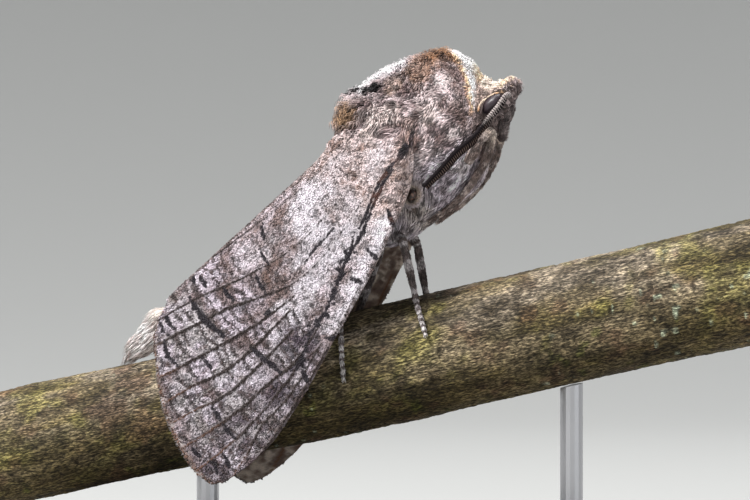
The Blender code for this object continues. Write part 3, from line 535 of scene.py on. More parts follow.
COAT = painted_material("hair_scales", 0.62, 0.5, 0.10, 0.0, sheen=0.15)
SKIN = painted_material("skin_under_coat", 0.7, 0.35, 0.22, 0.5)
WING = painted_material("wing_membrane", 0.6, 0.16, 0.16, 0.35)
SCALE = painted_material("wing_scales", 0.55, 0.3, 0.08, 0.0, sheen=0.1)
HORN = painted_material("horny_parts", 0.38, 0.12, 0.12, 0.25, specular=0.5)
FEELER = painted_material("feeler", 0.65, 0.12, 0.12, 0.15, specular=0.12)


def eye_material():
    """Dark glossy cornea with fine facets."""
    material, tree, shader = new_material("eye_facets", 0.42)
    paint = add_node(tree, "VertexColor", layer_name="coat")
    tree.links.new(paint.outputs["Color"], shader.inputs["Base Color"])
    shader.inputs["Coat Weight"].default_value = 0.12
    shader.inputs["Coat Roughness"].default_value = 0.25
    place = add_node(tree, "TexCoord").outputs["Object"]
    cells = add_node(tree, "TexVoronoi", {"Scale": 1 / (0.07 * MM)}, {"Vector": place})
    add_bump(tree, shader, cells.outputs["Distance"], 0.35, 0.03 * MM)
    return material


def bark_material():
    """Painted bark with fine fibres along the branch, in colour and in height."""
    material, tree, shader = new_material("bark", 0.8)
    shader.inputs["Specular IOR Level"].default_value = 0.25
    place = add_node(tree, "TexCoord").outputs["Object"]
    level = add_node(tree, "Mapping", {"Rotation": (0.0, BRANCH_RISE, 0.0)}, {"Vector": place})
    shades = []
    for length, thickness, low, high in BARK_FIBRES:
        scale = (1 / (length * MM), 1 / (thickness * MM), 1 / (thickness * MM))
        squash = add_node(tree, "VectorMath", {1: scale}, {0: level.outputs["Vector"]}, operation="MULTIPLY")
        fibre = noise_node(tree, 1.0, 3.0, squash.outputs["Vector"])
        shades.append(carried(tree, fibre.outputs["Fac"], 0.39, 0.63, low, high, "SMOOTHSTEP"))
    both = add_node(tree, "Math", {}, {0: shades[0], 1: shades[1]}, operation="MULTIPLY").outputs["Value"]
    paint_with_shade(tree, shader, both)
    add_bump(tree, shader, both, 0.7, 0.12 * MM)
    return material


BARK = bark_material()
EYE = eye_material()


# Surfaces

def unit_grid(grid):
    """A grid of vectors, each of length one."""
    return grid / np.maximum(np.linalg.norm(grid, axis=2, keepdims=True), 1e-12)


def grid_normals(points, outward):
    """Unit normals of a grid of points, turned to the side where outward is positive."""
    normals = unit_grid(np.cross(np.gradient(points, axis=0), np.gradient(points, axis=1)))
    flip = np.sign(np.sum(normals * outward, axis=2, keepdims=True))
    return normals * np.where(flip == 0, 1.0, flip)


def ring_normals(points):
    """Outward unit normals of a grid that is closed round each row."""
    across = (np.roll(points, -1, axis=1) - np.roll(points, 1, axis=1)) / 2
    normals = unit_grid(np.cross(across, np.gradient(points, axis=0)))
    middle = points.mean(axis=1, keepdims=True)
    outward = np.sum(normals * (points - middle), axis=(1, 2))
    return normals * np.where(outward < 0, -1.0, 1.0)[:, None, None]


class Surface:
    """A grid of places with normals, from which roots are drawn for tufts and scales."""

    def __init__(self, points, normals, closed):
        self.points = points
        self.normals = normals
        self.closed = closed
        rows, columns = points.shape[:2]
        after = np.roll(points, -1, axis=1) if closed else points[:, 1:]
        before = points if closed else points[:, :-1]
        side = (after - before)[:-1]
        along = (points[1:] - points[:-1])[:, :side.shape[1]]
        self.areas = np.linalg.norm(np.cross(side, along), axis=2)
        self.rows = rows
        self.columns = columns

    def draw(self, count, chooser, density=None):
        """Roots, normals and places (share along, share round) of count random spots."""
        weight = self.areas if density is None else self.areas * density[:-1, :self.areas.shape[1]]
        total = np.cumsum(weight.ravel())
        cell = np.searchsorted(total, chooser.random(count) * total[-1])
        row, column = np.divmod(np.minimum(cell, weight.size - 1), weight.shape[1])
        a, b = chooser.random(count), chooser.random(count)
        following = (column + 1) % self.columns
        def blend(values):
            low = values[row, column] * (1 - b)[:, None] + values[row, following] * b[:, None]
            high = values[row + 1, column] * (1 - b)[:, None] + values[row + 1, following] * b[:, None]
            return low * (1 - a)[:, None] + high * a[:, None]
        across = self.columns if self.closed else self.columns - 1
        place = np.column_stack([(row + a) / (self.rows - 1), (column + b) / across])
        return blend(self.points), unit(blend(self.normals)), place


def body_grid(rows, sides):
    """The body's outer form, from tail to face, as rings of points that start at the top."""
    turn = np.arange(sides) / sides * 2 * math.pi
    power = 2 / BODY_SQUARENESS
    rise = np.sign(np.cos(turn)) * np.abs(np.cos(turn)) ** power
    out = np.sign(np.sin(turn)) * np.abs(np.sin(turn)) ** power
    sections = smooth_rows(BODY_SECTIONS, rows)
    top, bottom, half = sections[:, 0:2], sections[:, 2:4], sections[:, 4]
    middle = (top + bottom) / 2
    flat = middle[:, None, :] + (top - middle)[:, None, :] * rise[None, :, None]
    return np.stack([flat[..., 0], half[:, None] * out[None, :], flat[..., 1]], axis=2)


def blurred(values, times):
    """A grid of values smoothed along both of its ways."""
    for _ in range(times):
        values = (np.concatenate([values[:1], values[:-1]]) + values * 2
                  + np.concatenate([values[1:], values[-1:]])) / 4
        values = (np.concatenate([values[:, :1], values[:, :-1]], axis=1) + values * 2
                  + np.concatenate([values[:, 1:], values[:, -1:]], axis=1)) / 4
    return values


def tree_of(points, faces):
    """A search tree of a surface in millimetres."""
    return BVHTree.FromPolygons([tuple(p) for p in points], [tuple(f) for f in faces])


BODY_OUTER = body_grid(92, 60)
BODY_TREE = tree_of(BODY_OUTER.reshape(-1, 3), grid_faces(92, 60, True)[:, ::-1])


def roof_table():
    """Girth, out and down from the ridge along the roof."""
    girth = np.linspace(0.0, 36.0, 721)
    slope = ROOF_SLOPE * (1.0 - (1.0 - np.clip(girth / ROOF_TURN, 0.0, 1.0)) ** 2)
    middle = (slope[1:] + slope[:-1]) / 2
    step = np.diff(girth)
    out = np.concatenate([[0.0], np.cumsum(np.cos(middle) * step)])
    down = np.concatenate([[0.0], np.cumsum(np.sin(middle) * step)])
    return girth, out, down


ROOF = roof_table()


def roof_points(along, girth, side):
    """Places on the roof of the right (side -1) or left (side +1) wings."""
    out = np.interp(girth, ROOF[0], ROOF[1])
    down = np.interp(girth, ROOF[0], ROOF[2])
    share = ease(ROOF_FLARE_FULL, ROOF_FLARE_END, ROOF_FLARE_END + ROOF_FLARE_FULL - along)
    out = out + ROOF_FLARE * share * np.minimum(1.0, down / 5.0)
    sunk = ROOF_SINK * np.maximum(0.0, 1.0 - girth / ROOF_SINK_END)
    return np.stack([along, side * out, down + sunk], axis=-1)


def at_share(curve, share):
    """Points of a fine curve at shares of its length."""
    place = np.clip(share, 0.0, 1.0) * (len(curve) - 1)
    low = np.minimum(place.astype(int), len(curve) - 2)
    return curve[low] + (curve[low + 1] - curve[low]) * (place - low)[..., None]


COSTA_CURVE = smooth_rows(COSTA, 81)
HIND_CURVE = smooth_rows(HIND_MARGIN, 81)
OUTER_CURVE = smooth_rows(OUTER_MARGIN, 81)


def wing_places(s, t):
    """(along, girth) at shares s from base to outer margin and t from leading to hind edge."""
    s, t = np.broadcast_arrays(s, t)
    straight = at_share(COSTA_CURVE, s) * (1 - t)[..., None] + at_share(HIND_CURVE, s) * t[..., None]
    corner = COSTA_CURVE[-1] * (1 - t)[..., None] + HIND_CURVE[-1] * t[..., None]
    return straight + (at_share(OUTER_CURVE, t) - corner) * s[..., None] ** 1.6


def swing(points, side):
    """Settle the left forewing a little lower and further back than the right one."""
    if side < 0:
        return points
    pivot = np.array((-4.0, 0.0, 6.0))
    turn = np.array(Matrix.Rotation(-LEFT_WING_DROOP, 3, "Y"))
    share = np.clip(points[..., :1] / 40.0, 0.0, 1.0)
    return pivot + (points - pivot) @ turn.T + share * np.array((LEFT_WING_SHIFT, 0.0, 0.0))


def pushed(points, clearance):
    """Points moved out until they stand clear of the body."""
    moved = points.copy()
    for index in np.ndindex(points.shape[:2]):
        point = Vector(points[index])
        place, normal, _, _ = BODY_TREE.find_nearest(point)
        short = clearance[index] - (point - place).dot(normal)
        if short > 0:
            moved[index] = point + normal * short
    return moved


def wing_inner(s, t, side):
    """The forewing's inner face on a grid of shares, and its flat places."""
    flat = wing_places(s, t)
    points = swing(roof_points(flat[..., 0], flat[..., 1], side), side)
    share = np.clip((s - 0.04) / (HINDWING_START - 0.05), 0.0, 1.0)
    clearance = np.broadcast_to(SKIN_CLEARANCE + HINDWING_DEPTH * share, flat.shape[:2])
    held = pushed(points, clearance)
    return points + blurred(held - points, 2), flat


def to_girth(line):
    """A line of (along, depth below the ridge) as (along, girth)."""
    line = np.array(line, dtype=float)
    sunk = ROOF_SINK * np.maximum(0.0, 1.0 - ROOF[0] / ROOF_SINK_END)
    return np.column_stack([line[:, 0], np.interp(line[:, 1], ROOF[2] + sunk, ROOF[0])])


VEIN_LINES = [smooth_rows(to_girth(line), 24) for line in VEINS]
STREAK_LINE = smooth_rows(to_girth(STREAK), 50)
TWIN_LINE = smooth_rows(to_girth(STREAK_TWIN), 12)
DASH_LINES = [(smooth_rows(to_girth(line), 8), half) for line, half in DASHES]


def chance(number, seed):
    """A steady random number from 0 to 1 for each whole number."""
    value = np.sin(number * 12.9898 + seed * 78.233) * 4375.8545
    return value - np.floor(value)


def wing_lines(flat):
    """Distance past the edge of the nearest vein and of the nearest dark mark, in millimetres."""
    vein = np.full(len(flat), 9.0)
    for number, line in enumerate(VEIN_LINES):
        gap, share = distance_to_line(flat, line)
        thick = ease(39.0, 32.0, flat[:, 0]) * ease(14.0, 24.0, flat[:, 0])
        bold = 1.0 if number in (1, 2, 3, 4, 5) else 0.6
        vein = np.minimum(vein, gap - (0.04 + 0.13 * thick * bold) - 0.05 * (noise(flat, 0.8, 55) - 0.5))
    gap, share = distance_to_line(flat, STREAK_LINE)
    twin, _ = distance_to_line(flat, TWIN_LINE)
    root_blot = np.hypot(flat[:, 0] - STREAK_LINE[5, 0], flat[:, 1] - STREAK_LINE[5, 1]) - 0.26
    broken = 0.16 * (noise(flat, 0.7, 56) - 0.45)
    wide = 0.15 + 0.07 * np.sin(share * 9.0) * ease(0.5, 0.3, share) + 0.03 * ease(0.36, 0.24, share)
    mark = np.minimum(np.minimum(gap - wide + broken, twin - 0.17 + broken), root_blot)
    spread = 0.34 + 0.80 * ease(0.30, 0.60, share)
    blotch = gap - spread * (layered(flat, 0.55, 57, 2) - 0.45) * 3.6
    mark = np.minimum(mark, np.maximum(blotch, gap - 1.15))
    for line, half in DASH_LINES:
        gap, share = distance_to_line(flat, line)
        ragged = 0.60 * (layered(flat, 0.5, 58, 2) - 0.5)
        mark = np.minimum(mark, gap + ragged - half * (0.45 + 0.55 * np.sin(share * math.pi)))
    return vein, mark


def cell_of(flat):
    """The number of the cell between the veins in which each flat place lies."""
    cell = np.zeros(len(flat))
    for line in VEIN_LINES:
        order = np.argsort(line[:, 0])
        cell += flat[:, 1] > np.interp(flat[:, 0], line[order, 0], line[order, 1])
    return cell


def cross_lines(flat, cell):
    """Short dark lines across the cells between the veins, from 0 to 1."""
    spacing = 1.25
    wave = (layered(flat, 0.9, 62, 2) - 0.5) * 1.1 + (noise(flat, 3.0, 61) - 0.5) * 1.5
    place = (flat[:, 0] + wave) / spacing + chance(cell, 3)
    number = np.floor(place)
    gap = np.abs(place - number - 0.5) * spacing
    code = number + 31.0 * cell
    half = 0.06 + 0.18 * chance(code, 7)
    line = ease(half + 0.14, half, gap) * (chance(code, 5) < 0.60)
    return line * ease(0.26, 0.42, noise(flat, 0.9, 63)) * (0.15 + 0.85 * ease(11.0, 20.0, flat[:, 0]))


def ground_share(flat, grounds, edge, seed):
    """1 inside ragged grounds along lines, and 0 outside them."""
    share = np.zeros(len(flat))
    ragged = (layered(flat, 1.3, seed) - 0.5) * 3.4
    for line, radius, strength in grounds:
        gap, _ = distance_to_line(flat, to_girth(line))
        share = np.maximum(share, ease(radius + edge, radius - edge, gap + ragged) * strength)
    return share


def flecked(colour, places, chooser, pale_share=0.60, size=0.42, dark=0.32, gain=1.26):
    """Colours of single scales, in small clusters: most paler than their ground, the rest darker."""
    cluster = 0.70 * noise(places, size, 211) + 0.30 * chooser.random(len(colour))
    pale = cluster < np.quantile(cluster, pale_share)
    part = chooser.random(len(colour))
    shade = np.where(pale, gain + 0.30 * part, dark + 0.30 * part)
    calm = 0.6 * ease(0.55, 0.85, colour.mean(axis=1))
    return colour * (shade + (1.0 - shade) * calm)[:, None]


def spot(flat, middle, radius):
    """1 in the middle of a soft round place and 0 outside it."""
    middle = to_girth([middle])[0]
    return 1.0 - ease(0.2 * radius, radius, np.linalg.norm(flat - middle, axis=1))


def white_share(flat):
    """1 in the wing's white grounds and 0 outside them."""
    return ground_share(flat, WHITE_GROUNDS, 1.1, 12)


def wing_ground(flat, s, t):
    """The wing's colours without its lines, at flat places (along, girth)."""
    along, girth = flat[:, 0], flat[:, 1]
    cell = cell_of(flat)
    colour = mix((202, 189, 196), (152, 136, 138), ease(0.36, 0.62, layered(flat, 1.1, 11)))
    beige = ease(11.0, 2.0, along)
    colour = mix(colour, (208, 190, 186), beige * 0.6)
    tan = ease(0.52, 0.62, layered(flat, 0.7, 13)) * (0.50 + 0.30 * beige)
    colour = mix(colour, (132, 108, 100), tan)

    row = np.column_stack([along / 1.9 + (layered(flat, 1.0, 65, 2) - 0.5) * 0.8, cell * 7.31])
    block = ease(0.34, 0.50, noise(row, 1.0, 66))
    paler = mix((220, 210, 222), (184, 171, 182), ease(0.3, 0.7, layered(flat, 0.8, 68)))
    darker = mix((142, 124, 126), (100, 85, 88), ease(0.3, 0.7, layered(flat, 1.0, 69)))
    outer = ease(17.0, 22.0, along + 1.5 * (noise(flat, 2.0, 70) - 0.5))
    colour = mix(colour, mix(darker, paler, block), outer * 0.92)

    brown = ground_share(flat, BROWN_GROUNDS, 0.8, 17)
    colour = mix(colour, (122, 98, 90), brown * (0.5 + 0.5 * ease(0.35, 0.6, layered(flat, 0.8, 18))))
    white = white_share(flat)
    colour = mix(colour, (242, 236, 244), white * (0.66 + 0.34 * ease(0.66, 0.48, layered(flat, 0.8, 14))))

    stretched = flat * np.array((0.45, 1.0))
    clear = ease(25.0, 32.0, along) * ease(0.46, 0.58, layered(stretched, 1.1, 19)) * ease(0.985, 0.93, s)
    colour = mix(colour, (154, 150, 144), clear * 0.5)
    low = ease(19.0, 27.0, girth) * ease(16.0, 27.0, along)
    colour = mix(colour, (92, 80, 88), low * (0.15 + 0.75 * ease(0.4, 0.6, layered(flat, 1.3, 23))))
    cloud = np.zeros(len(flat))
    for middle, radius in CLOUDS:
        cloud = np.maximum(cloud, spot(flat, middle, radius * 1.3))
    colour = mix(colour, (64, 52, 66), cloud * ease(0.38, 0.54, layered(flat, 0.8, 29)) * 0.86)

    squiggle = np.abs(layered(flat, 0.95, 31, 2) - 0.5)
    near_edge = ease(27.0, 35.0, along + 0.25 * girth - 3.0)
    net = ease(0.034, 0.012, squiggle) * ease(0.38, 0.50, noise(flat, 2.2, 37)) * near_edge
    lines = np.maximum(cross_lines(flat, cell), net)
    colour = mix(colour, (58, 44, 42), lines * 0.85)
    across = np.column_stack([along * 1.5, girth * 0.35])
    ridge = ease(3.0, 1.4, girth) * ease(2.0, 5.0, along)
    colour = mix(colour, (150, 136, 134), ridge * 0.6)
    colour = mix(colour, (66, 50, 44), ridge * ease(0.54, 0.64, noise(across, 0.9, 41)) * 0.85)
    speck = ease(0.57, 0.66, layered(flat, 0.42, 43, 2)) * ease(0.30, 0.55, noise(flat, 1.7, 44))
    colour = mix(colour, (80, 62, 60), speck * 0.75 * (1.0 - 0.7 * white))
    costa = ease(0.030, 0.012, t) * ease(0.10, 0.20, s)
    colour = mix(colour, (82, 64, 60), costa * (0.4 + 0.5 * ease(0.4, 0.6, noise(across, 1.3, 45))))
    colour = colour * (1.0 - 0.40 * ease(2.6, 0.8, girth) * ease(1.0, 5.0, along))[:, None]
    root = ease(0.6, -4.6, along) * ease(0.50, 0.15, t)
    colour = mix(colour, (160, 138, 130), root * ease(0.35, 0.6, layered(flat, 1.1, 46)) * 0.55)
    colour = colour * (1.0 + 0.26 * ease(5.0, -1.0, along))[:, None]
    return mix((112, 84, 70), colour, ease(0.995, 0.985, s))


def with_lines(colour, flat, vein, mark):
    """The wing's colours with its veins and dark marks laid on."""
    rough = (noise(flat, 0.3, 53) - 0.5) * 0.16
    dark = mix((48, 35, 32), (104, 72, 56), ease(33.0, 38.5, flat[:, 0]))
    thin = 0.55 + 0.45 * ease(12.0, 20.0, flat[:, 0])
    colour = mix(colour, dark, (1.0 - ease(0.0, 0.09, vein + rough)) * 0.95 * thin)
    red = ease(-6.5, -4.5, flat[:, 0]) * ease(1.6, 0.2, flat[:, 0]) * ease(0.62, 0.40, noise(flat, 0.9, 54))
    ink = mix((36, 29, 38), (82, 50, 42), red)
    return mix(colour, ink, (1.0 - ease(0.0, 0.10, mark + rough)) * 0.95)


def wing_relief(flat, vein):
    """Height of the membrane over its even level: ridged veins with troughs between them."""
    ridge = 0.13 * np.exp(-(np.maximum(vein, 0.0) / 0.28) ** 2)
    trough = -0.05 * ease(0.2, 1.4, vein)
    return ridge + trough + 0.05 * (layered(flat, 0.8, 59) - 0.5)


def closed_sheet(outer, inner, side):
    """Points and quads of a closed sheet between two grids of a wing of the right or left side."""
    rows, columns = outer.shape[:2]
    count = rows * columns
    points = np.concatenate([outer.reshape(-1, 3), inner.reshape(-1, 3)])
    front = grid_faces(rows, columns)
    index = np.arange(count).reshape(rows, columns)
    rim = np.concatenate([index[0, :-1], index[:-1, -1], index[-1, :0:-1], index[:0:-1, 0]])
    after = np.roll(rim, -1)
    sides = np.column_stack([after, rim, rim + count, after + count])
    faces = np.concatenate([front, front[:, ::-1] + count, sides])
    return points, faces[:, ::-1] if side > 0 else faces


def rearward_lie(root, swirl, seed, base, size):
    """Directions of the coat: toward the tail, turned here and there by smooth swirls."""
    turn = (layered(root, size, seed, 2) - 0.5) * 2.0 * swirl
    lie = np.broadcast_to(np.array(base, dtype=float), root.shape).copy()
    lie[:, 1] += np.sin(turn) * np.sign(root[:, 1] + 1e-6) * 0.5
    lie[:, 2] += np.sin(turn)
    return lie


def sheet_grid(rows, columns, start=0.0, end=1.0, edges=(0.0, 1.0)):
    """Shares along a wing as a column, and across it as a row."""
    return np.linspace(start, end, rows)[:, None], np.linspace(*edges, columns)[None, :]


def strip_maps(rows, columns):
    """The bake map of a wing piece: across and along it, with its back beside its front."""
    across = np.broadcast_to(columns, np.broadcast(rows, columns).shape).reshape(-1)
    down = np.broadcast_to(rows, np.broadcast(rows, columns).shape).reshape(-1)
    uv = np.column_stack([across, down]) * 0.47
    return np.concatenate([uv + 0.01, uv + np.array((0.51, 0.01))])


def draw_on_wing(surface, count, chooser, density):
    """Random spots on a wing: roots, normals, shares, flat places, distances to lines, bake map."""
    root, normal, place = surface.draw(count, chooser, density)
    flat = wing_places(place[:, 0], place[:, 1])
    maps = np.column_stack([place[:, 1], place[:, 0]]) * 0.47 + 0.01
    return root, normal, place, flat, *wing_lines(flat), maps


def build_wing(side_name, side, chooser):
    """One forewing with its scales and hair-scales. Gives the points of its outer face."""
    s, t = sheet_grid(WING_ROWS, WING_COLUMNS)
    inner, flat = wing_inner(s, t, side)
    outward = np.array((0.0, side, -0.2))
    normals = grid_normals(inner, outward)
    costal = ease(0.14, 0.02, t) * ease(0.24, 0.12, s)
    near_root = np.maximum(ease(0.06, 0.005, s) + 0.0 * t, costal)
    raised = HINDWING_DEPTH * np.clip((s - 0.04) / (HINDWING_START - 0.05), 0.0, 1.0)
    inner = inner - normals * (ROOT_SINK * near_root + raised * costal)[..., None]
    rows = flat.reshape(-1, 2)
    vein, mark = wing_lines(rows)
    relief = wing_relief(rows, vein).reshape(WING_ROWS, WING_COLUMNS, 1)
    outer = inner + normals * (MEMBRANE_LIFT + relief)
    below = inner + normals * (MEMBRANE_LIFT + relief - MEMBRANE)
    points, faces = closed_sheet(outer, below, side)
    s_row = np.broadcast_to(s, flat.shape[:2]).reshape(-1)
    t_row = np.broadcast_to(t, flat.shape[:2]).reshape(-1)
    # The membrane's face is darkened under its scales, as painted shade in the gaps between them
    front = with_lines(wing_ground(rows, s_row, t_row), rows, vein, mark) * MEMBRANE_PAINTED_SHADE
    # The back face is painted much paler than the wing's own colour, as painted light shining through the
    # wing onto its shaded inner side; the blotches and veins on it are its own
    back = mix((212, 196, 182), (120, 100, 90), ease(0.38, 0.60, layered(rows, 1.1, 47)))
    back = mix(back, (84, 66, 60), ease(0.56, 0.66, layered(rows, 0.7, 48)) * 0.7)
    back = mix(back, (112, 76, 52), (1.0 - ease(0.0, 0.14, vein)) * 0.9)
    make_piece("membrane_" + side_name, to_world(points), [faces], WING, np.concatenate([front, back]),
               strip_maps(s, t), ("forewing_" + side_name,))

    surface = Surface(outer, grid_normals(outer, outward), False)
    dark_lines = np.minimum(vein, mark).reshape(WING_ROWS, WING_COLUMNS)
    bare = np.clip(dark_lines / 0.22, 0.22, 1.0)
    root, normal, place, where, vein, mark, maps = draw_on_wing(surface, WING_SCALES, chooser, bare)
    colour = with_lines(wing_ground(where, place[:, 0], place[:, 1]), where, vein, mark)
    colour = flecked(colour, where, chooser, 0.60, 0.38, 0.28, 1.10)
    size = 0.20 + 0.18 * chooser.random(WING_SCALES)
    size = size * (0.55 + 0.45 * ease(0.05, 0.40, np.minimum(vein, mark)))
    make_scales("scales_" + side_name, root, normal, rearward_lie(root, 1.6, 61, SCALE_LIE, 0.8), size,
                size * 0.85, colour, maps, SCALE, 0.10 + 0.50 * chooser.random(WING_SCALES))
    build_marks(side_name, surface, ease(0.30, 0.10, dark_lines), chooser)
    build_fringe(side_name, outer, normals, chooser)
    build_shoulder(side_name, surface, chooser)
    return outer


def build_marks(side_name, surface, density, chooser):
    """The dark scales that cover the veins, the streak and the dashes."""
    root, normal, _, where, vein, mark, maps = draw_on_wing(surface, MARK_SCALES, chooser, density + 1e-6)
    on_mark = mark < 0.03
    chosen = chooser.random(len(where)) < 0.35 + where[:, 0] / 24.0
    keep = (np.minimum(vein, mark) < 0.03) & (on_mark | chosen)
    root, normal, where, vein, mark, maps = (rows[keep] for rows in (root, normal, where, vein, mark, maps))
    count = len(root)
    colour = with_lines(np.zeros((count, 3)), where, vein - 0.2, mark - np.where(on_mark[keep], 0.2, 0.0))
    colour = colour * (0.75 + 0.6 * chooser.random(count))[:, None]
    size = 0.14 + 0.12 * chooser.random(count)
    lie = rearward_lie(root, 1.2, 61, SCALE_LIE, 0.8)
    make_scales("marks_" + side_name, root + normal * 0.05, normal, lie, size, size * 0.9, colour, maps,
                SCALE, 0.10 + 0.35 * chooser.random(count))


def build_shoulder(side_name, surface, chooser):
    """Longer hair-scales over the wing's root, which carry the coat of the thorax on to it."""
    s, t = sheet_grid(WING_ROWS, WING_COLUMNS)
    near_back = ease(5.0, 0.0, wing_places(s, t)[..., 0]) * ease(0.80, 1.0, t)
    rim = ease(0.030, 0.0, s) * 3.0 + ease(0.16, 0.04, s) * ease(0.12, 0.0, t) * 1.6
    density = np.maximum(ease(0.14, 0.0, s) + rim, near_back) + 1e-4
    count = SHOULDER_TUFTS
    root, normal, place, where, vein, mark, maps = draw_on_wing(surface, count, chooser, density)
    ground = wing_ground(where, place[:, 0], place[:, 1])
    fur = body_colours(root, np.full(count, 1.6))
    colour = mix(fur, ground, ease(0.0, 0.09, place[:, 0]))
    band = ease(1.8, 0.4, np.abs(where[:, 0] - 0.3)) * ease(0.22, 0.08, place[:, 1])
    colour = mix(colour, (104, 86, 76), band * ease(0.30, 0.55, layered(root, 1.0, 66)))
    colour = flecked(with_lines(colour, where, vein, mark), root, chooser, 0.60, 0.42, 0.34, 1.15)
    length = 0.45 + 0.75 * chooser.random(count) * ease(0.18, 0.0, place[:, 0])
    lie = rearward_lie(root, 1.6, 64, (1.0, 0.0, 0.2), 1.3)
    make_tufts("shoulder_" + side_name, root, normal, lie, length, 0.16, colour, maps, COAT,
               0.15 + 0.3 * chooser.random(count), sink=0.1)


def build_fringe(side_name, outer, normals, chooser):
    """Hair-scales along the wing's outer margin."""
    count = FRINGE_TUFTS
    place = chooser.random(count) * (WING_COLUMNS - 1)
    low = np.minimum(place.astype(int), WING_COLUMNS - 2)
    part = (place - low)[:, None]
    root = outer[-1, low] * (1 - part) + outer[-1, low + 1] * part
    lie = unit(outer[-1, low] - outer[-6, low])
    root = root - lie * (0.25 + 0.5 * chooser.random(count))[:, None]
    t = place / (WING_COLUMNS - 1)
    dashes = ease(0.35, 0.65, noise(np.column_stack([t * 40.0, t * 0.0]), 1.0, 67))
    colour = mix((112, 92, 86), (196, 186, 186), dashes * 0.7 + 0.3 * chooser.random(count))
    maps = np.column_stack([t, np.full(count, 0.985)]) * 0.47 + 0.01
    length = 0.55 + 0.35 * chooser.random(count) ** 2
    make_tufts("fringe_" + side_name, root, normals[-1, low], lie, length, 0.12, colour, maps, SCALE,
               0.05 * chooser.standard_normal(count), sink=0.05)


def build_hindwing(side_name, side):
    """One hindwing, folded under the forewing."""
    rows, columns = 70, 56
    s, t = sheet_grid(rows, columns, HINDWING_START, HINDWING_END, HINDWING_EDGES)
    inner, flat = wing_inner(s, t, side)
    normals = grid_normals(inner, np.array((0.0, side, -0.2)))
    share = (t - HINDWING_EDGES[0]) / (HINDWING_EDGES[1] - HINDWING_EDGES[0])
    veins = np.abs((share * 8.0) % 1.0 - 0.5)
    relief = 0.06 * np.exp(-(veins / 0.06) ** 2) + np.zeros((rows, 1))
    outer = inner - normals * (HINDWING_DEPTH - 0.34 - relief[..., None])
    points, faces = closed_sheet(outer, outer - normals * (MEMBRANE + relief[..., None] * 2), side)
    dark = np.broadcast_to(np.exp(-(veins / 0.07) ** 2), (rows, columns)).reshape(-1)
    ground = layered(flat.reshape(-1, 2), 2.0, 71)
    colour = mix(rgb(150, 141, 148) * 0.55, rgb(166, 142, 132) * 0.7, ground)
    colour = mix(colour, (58, 42, 38), dark * 0.7)
    make_piece("hindwing_membrane_" + side_name, to_world(points), [faces], WING,
               np.concatenate([colour, colour * 0.8]), strip_maps(np.linspace(0, 1, rows)[:, None], share),
               ("hindwing_" + side_name,))


# Body

def plane_distance(points, cut):
    """Signed distance rearward from a plane across the body."""
    (top_x, top_z), (low_x, low_z) = cut
    step = np.array((low_x - top_x, low_z - top_z))
    step /= np.linalg.norm(step)
    return (points[:, 0] - top_x) * step[1] - (points[:, 2] - top_z) * step[0]


def behind_line(points, line):
    """How far rearward of a line down the body's side each place is."""
    line = np.array(line)
    return 0.85 * (points[:, 0] - np.interp(points[:, 2], line[:, 1], line[:, 0]))


# Patches of the thorax's side, as (rearward, down), radius, colour and strength
PATCHES = (
    ((-14.6, 0.8), 2.9, (146, 114, 92), 0.75),
    ((-11.2, 0.2), 2.0, (178, 150, 128), 0.5),
    ((-16.2, 4.2), 1.7, (208, 196, 196), 0.8),
    ((-15.1, 7.9), 1.7, (120, 102, 98), 0.7),
    ((-7.8, 8.0), 2.6, (146, 118, 110), 0.65),
    ((-9.2, 5.4), 1.6, (140, 116, 106), 0.6),
    ((-8.4, 2.9), 1.7, (222, 206, 202), 0.65),
    ((-3.0, 6.6), 1.5, (214, 200, 196), 0.6),
    ((-6.3, 9.8), 1.9, (222, 208, 210), 0.85),
    ((-9.0, 9.4), 1.4, (212, 198, 200), 0.7),
    ((-12.2, 6.0), 2.0, (192, 178, 174), 0.6),
    ((-6.5, 2.0), 2.2, (216, 200, 196), 0.75),
    ((-13.6, 4.6), 1.8, (196, 182, 182), 0.6),
    ((-3.6, 3.6), 1.9, (206, 196, 190), 0.7),
    ((-3.9, -1.0), 2.6, (146, 116, 88), 0.95),
    ((-2.2, -0.2), 1.2, (88, 68, 50), 0.8),
    ((-12.1, 2.8), 0.6, (84, 70, 70), 0.9),
    ((-10.5, 5.4), 0.7, (70, 54, 52), 0.9),
    ((-9.2, 1.7), 0.5, (80, 66, 64), 0.8),
    ((-12.8, 10.5), 1.4, (190, 180, 180), 0.8),
    ((-9.4, 11.2), 1.2, (184, 174, 174), 0.7),
)
# The dark edge of the lobe above the feeler, and the black spots on the back with their radii
LOBE_EDGE = ((-15.9, 9.6), (-13.2, 9.2), (-10.6, 9.9), (-8.2, 11.0), (-5.8, 12.0))
SPOTS = (((-6.4, 1.9, -2.8), 0.85), ((-7.7, 4.9, -1.9), 0.75), ((-8.8, 5.3, -1.2), 0.8))


def near_spots(points, wider=0.0):
    """1 at the black spots of the back and 0 away from them."""
    folded = np.column_stack([points[:, 0], np.abs(points[:, 1]), points[:, 2]])
    share = np.zeros(len(points))
    for middle, radius in SPOTS:
        gap = np.linalg.norm(folded - np.array(middle), axis=1)
        share = np.maximum(share, ease(1.1 * radius + wider, 0.8 * radius + wider, gap))
    return share


